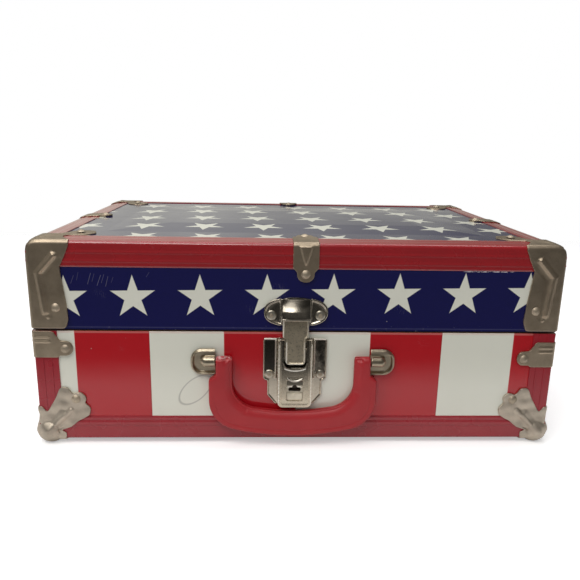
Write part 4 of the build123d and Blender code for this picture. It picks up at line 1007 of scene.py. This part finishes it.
def trim_section(rising):
    """A folded strip's section as (in, up from the fold): rounded fold, shallow ribs, thin free edges.
    Each rib has its place along the leg, its half width and its height."""
    slope = TOP_RISE / TRIM_LEG if rising else 0.0
    fold = 2.4
    ribs = ((0.68, 2.0, 0.4), (0.55, 0.6, -0.25), (0.82, 0.7, -0.3))
    if rising:
        ribs = ((0.42, 1.1, 0.42), (0.76, 1.1, 0.42))
    on_flat = 0.35 if rising else 1.0

    def skin(at):
        swell = sum(height * math.exp(-((at - place * TRIM_LEG) / half) ** 2) for place, half, height in ribs)
        return swell - 0.55 * max(0.0, (at - TRIM_LEG + 1.2) / 1.2)

    steps = [fold + (TRIM_LEG - fold) * i / 44 for i in range(45)]
    flat = [(at, slope * at + skin(at) * on_flat) for at in reversed(steps)]
    bend = [(fold * (1 - math.sin(a)), -fold * (1 - math.cos(a)) + slope * fold * math.cos(a))
            for a in [math.pi / 2 * i / 10 for i in range(1, 10)]]
    upright = [(-skin(at), -at) for at in steps]
    inner = [(TRIM, -TRIM_LEG), (TRIM, -TRIM), (TRIM_LEG, slope * TRIM_LEG - TRIM)]
    return flat + bend + upright + inner


def closed_mesh(name, points, faces, material):
    """A smooth mesh of points in millimetres, its faces turned outwards."""
    mesh = bpy.data.meshes.new(name)
    mesh.from_pydata((np.array(points) * MM).tolist(), [], faces)
    work = bmesh.new()
    work.from_mesh(mesh)
    bmesh.ops.recalc_face_normals(work, faces=work.faces)
    work.to_mesh(mesh)
    work.free()
    mesh.shade_smooth()
    mesh.materials.append(material)
    return mesh


def tube_faces(count, last):
    """The faces of a closed bar of rings 0 to last, each of count points."""
    walls = [(ring + i, ring + (i + 1) % count, ring + count + (i + 1) % count, ring + count + i)
             for ring in range(0, last * count, count) for i in range(count)]
    return walls + [tuple(range(count)), tuple(range((last + 1) * count - 1, last * count - 1, -1))]


RING_STEPS = (0, 2, 4, 6.5, 9, 12, 16, 22)  # a trim's rings in from each mitre, where the tips are rounded


def rolled_trims(prefix, material, fold_z, turn):
    """Four mitred strips round the case, each in place of its plain CAD strip.
    turn is -1 where they hang down from the fold, 1 where they stand up from it."""
    section = trim_section(turn < 0)
    stops = [(-1, step) for step in RING_STEPS] + [(1, step) for step in reversed(RING_STEPS)]
    for side in ("front", "back", "left", "right"):
        along_x = side in ("front", "back")
        long, deep = (CASE_W, CASE_D) if along_x else (CASE_D, CASE_W)
        sign = -1 if side in ("front", "left") else 1
        points = []
        for end, step in stops:
            for inward, up in section:
                along, out = end * (long / 2 - max(inward, 0) - step), sign * (deep / 2 - inward)
                x, y = (along, out) if along_x else (out, along)
                points.append((x, y + CASE_Y, fold_z - turn * up))
        points = np.array(points)
        if turn < 0:
            points += lid_rounding(points)
        node = prefix + side
        mesh = closed_mesh(node + "_rolled", points, tube_faces(len(section), len(stops) - 1), material)
        mesh.set_sharp_from_angle(angle=math.radians(40))
        fit(new_object(node + "_rolled", mesh), body_of(node), node)


def planed(node):
    """A copy of one of the lid's boards or sheets, planed off where the trims over it are rounded in."""
    side_cut, end_cut, tip_cut = 4.4, 5.6, 10.5
    ways = [(sx, 0, side_cut) for sx in (-1, 1)] + [(0, sy, end_cut) for sy in (-1, 1)]
    ways += [(sx, sy, tip_cut) for sx in (-1, 1) for sy in (-1, 1)]
    work = bmesh.new()
    work.from_mesh(frame["nodes"][node].data)
    for sx, sy, depth in ways:
        way = Vector((sx, sy, 1))
        tip = Vector((sx * CASE_W / 2, CASE_Y + sy * CASE_D / 2, TOP))
        spot = (tip - way * depth / way.length_squared) * MM
        cut = bmesh.ops.bisect_plane(work, geom=work.verts[:] + work.edges[:] + work.faces[:], dist=1e-7,
                                     plane_co=spot, plane_no=way.normalized(), clear_outer=True)
        opened = [item for item in cut["geom_cut"] if isinstance(item, bmesh.types.BMEdge)]
        bmesh.ops.holes_fill(work, edges=opened)
    mesh = frame["nodes"][node].data.copy()
    work.to_mesh(mesh)
    work.free()
    fit(new_object(node + "_planed", mesh), body_of(node), node)


def pan_head(name, body, sign, spot, radius):
    """A broad flat rivet head on the latch's flanges, with a rounded edge."""
    x, z = LATCH_X + sign * spot[0], spot[1] + FOOT
    out, height, turns = 1.0, 1.3, 40
    profile = ((0.35, 0.99), (0.62, 0.93), (0.78, 0.82), (0.9, 0.6), (0.97, 0.3), (1.0, 0.0), (1.0, -0.5))
    points = [(x, FRONT - out - height, z)]
    for part, level in profile:
        for i in range(turns):
            angle = 2 * math.pi * i / turns
            points.append((x + radius * part * math.cos(angle), FRONT - out - height * level,
                           z + radius * part * math.sin(angle)))
    faces = [(0, 1 + i, 1 + (i + 1) % turns) for i in range(turns)]
    for a in range(1, len(points) - turns, turns):
        b = a + turns
        faces += [(a + i, b + i, b + (i + 1) % turns, a + (i + 1) % turns) for i in range(turns)]
    faces.append(tuple(range(len(points) - turns, len(points))))
    fit(new_object(name, closed_mesh(name, points, faces, HEAD)), body)


def lip(name, body, centre, half, sag, radius, material):
    """A pressed lip: a bar bowed down in its middle, tapered to its ends, on the latch's face."""
    x, out, z = centre
    turns, steps, points = 12, 24, []
    for step in range(steps + 1):
        t = 2 * step / steps - 1
        thick = radius * (0.25 + 0.75 * math.sqrt(max(0.0, 1 - t ** 4)))
        for i in range(turns):
            angle = 2 * math.pi * i / turns
            points.append((x + half * t, FRONT - out - thick * math.cos(angle),
                           z + sag * t * t + thick * math.sin(angle)))
    mesh = closed_mesh(name, points, tube_faces(turns, steps), material)
    fit(new_object(name, mesh), body)


# ---------------- the trunk
make_camera()
make_stage()
AGED = nickel("aged_nickel", "B9A993", (0.36, 0.6), 0.35, 0.07)
FOOT_NICKEL = nickel("foot_nickel", "D2C6B5", (0.42, 0.62), 0.35, 0.07)
BRIGHT = nickel("latch_nickel", "C4BBAC", (0.1, 0.3), 0.3, 0.02)
# The plate, lever, lock, keeper and bolt carry painted shade, painted dark reflections and painted
# highlights.
PLATE = nickel("plate_nickel", "C9BFAE", (0.14, 0.34), 0.4, 0.03, plate_shade, plate_painted_highlight, 0.75)
LEVER = nickel("lever_nickel", "D6CAB4", (0.16, 0.36), 0.45, 0.03, lever_shade, lever_painted_highlight, 0.7)
LOCK = nickel("lock_nickel", "E2D8C3", (0.2, 0.4), 0.2, 0.02, lock_shade, lock_painted_highlight)
KEEPER = nickel("keeper_nickel", "C4BBAC", (0.14, 0.32), 0.4, 0.03, keeper_shade, None, 0.8)
CUP = nickel("cup_nickel", "BFB29B", (0.26, 0.44), 0.35, 0.05)
BOLT = nickel("bolt_nickel", "DCCFB6", (0.34, 0.52), 0.9, 0.06, None, bolt_painted_highlight, 0.6)
RIVET = nickel("rivet_nickel", "CBBDA8", (0.5, 0.68), 0.3, 0.06)
# Painted shade for the keyhole, laid on the lock's plug.
KEYHOLE_SHADE = nickel("keyhole_painted_shade", "3E3832", (0.4, 0.6), 0.3)
# Near white: a painted highlight for the window's pressed lip.
LIP_HIGHLIGHT = nickel("lip_painted_highlight", "FBF6EA", (0.34, 0.5), 0.15, 0.02)
HEAD = nickel("head_nickel", "CFC8B8", (0.28, 0.46), 0.25, 0.03)
LID_RED = trim_paint("lid_trim_red", "A3161E", "8C1119", 0.75)
BASE_RED = trim_paint("base_trim_red", "A42F37", "90262E")
POST_RED = trim_paint("post_trim_red", "A01626", "8E121F")

LID_BOARDS = ["lid_top_board", "lid_front_board", "lid_back_board", "lid_side_boards"]
BASE_BOARDS = ["base_bottom_board", "base_front_board", "base_back_board", "base_side_boards"]
dress(nodes_with("latch", "lock", "handle_bracket", "hinge"), BRIGHT)
dress(nodes_with("lid_rivets", "base_rivets", "handle_pins", "latch_bolt_pin", "latch_lever_pin"), RIVET)
# The lock's plug is painted dark as the shade in the keyhole.
dress(["lock_plug"], KEYHOLE_SHADE)
dress(["base_post_trims"], POST_RED)
dress(["lid_side_skin"], printed_lid_band())
dress(["base_side_skin"], printed_base_band())
dress(["lid_top_skin"], printed_top())
dress(["base_bottom_skin"], plain_tin())
dress(LID_BOARDS + BASE_BOARDS, matt("board_wood", 0.5, 0.6, "B08A5C", "8A6840", 0.6, 0.15, 0.12))
dress(["rim_strip"], matt("rim_board", 0.9, 0.65, "3A2320", "54352E", 0.55, 0.1))
dress(["lid_lining", "base_lining"], paper_lining())

LOW_CLAMP = 87.2  # the front right clamp sits lower than the others, which meet the seam
for place, sx, sy in (("front_left", -1, -1), ("front_right", 1, -1),
                      ("back_left", -1, 1), ("back_right", 1, 1)):
    cell = 0.5 if sy < 0 else 0.7
    clamp_top = LOW_CLAMP if place == "front_right" else SEAM
    press("lid_corner_" + place, AGED, cell, 4, lid_corner_shape(sx, sy))
    press("base_corner_" + place, FOOT_NICKEL, cell, 4, ball_corner_shape(sx, sy))
    press("base_clamp_" + place, AGED, cell, 3, corner_clamp_shape(sx, sy, clamp_top))
FRONT_CLAMP_X = 3.8
for side in ("front", "back", "left", "right"):
    press("lid_clamp_" + side, AGED, 0.45, 3, clamp_shape(side, FRONT_CLAMP_X if side == "front" else 0.0))
press("latch_keeper", KEEPER, 0.3, 7, keeper_shape)
press("latch_plate", PLATE, 0.3, 3, plate_shape)
press("latch_lever", LEVER, 0.25, 3, lever_shape)
press("latch_bolt", BOLT, 0.3, 3, bolt_shape)
press("lock_plate", LOCK, 0.2, 2)
# The lip's near-white material is a painted highlight.
lip("window_lip", "lever", (LATCH_X, 7.1, 52.2 + FOOT), 6.2, 2.5, 0.85, LIP_HIGHLIGHT)
for side, sign in (("left", -1), ("right", 1)):
    press("handle_bracket_" + side, CUP, 0.3, 6, bracket_shape(sign))
    pan_head("keeper_head_" + side, "lid", sign, KEEPER_RIVET, 4.1)
    pan_head("plate_head_" + side, "base", sign, PLATE_RIVET, 3.8)
press("handle_grip", handle_plastic(), 0.5, 3, handle_shape)
for node in ("lid_top_skin", "lid_side_skin"):
    planed(node)
for node in LID_BOARDS:
    planed(node)
rolled_trims("lid_trim_", LID_RED, TOP, -1)
rolled_trims("base_trim_", BASE_RED, FOOT, 1)
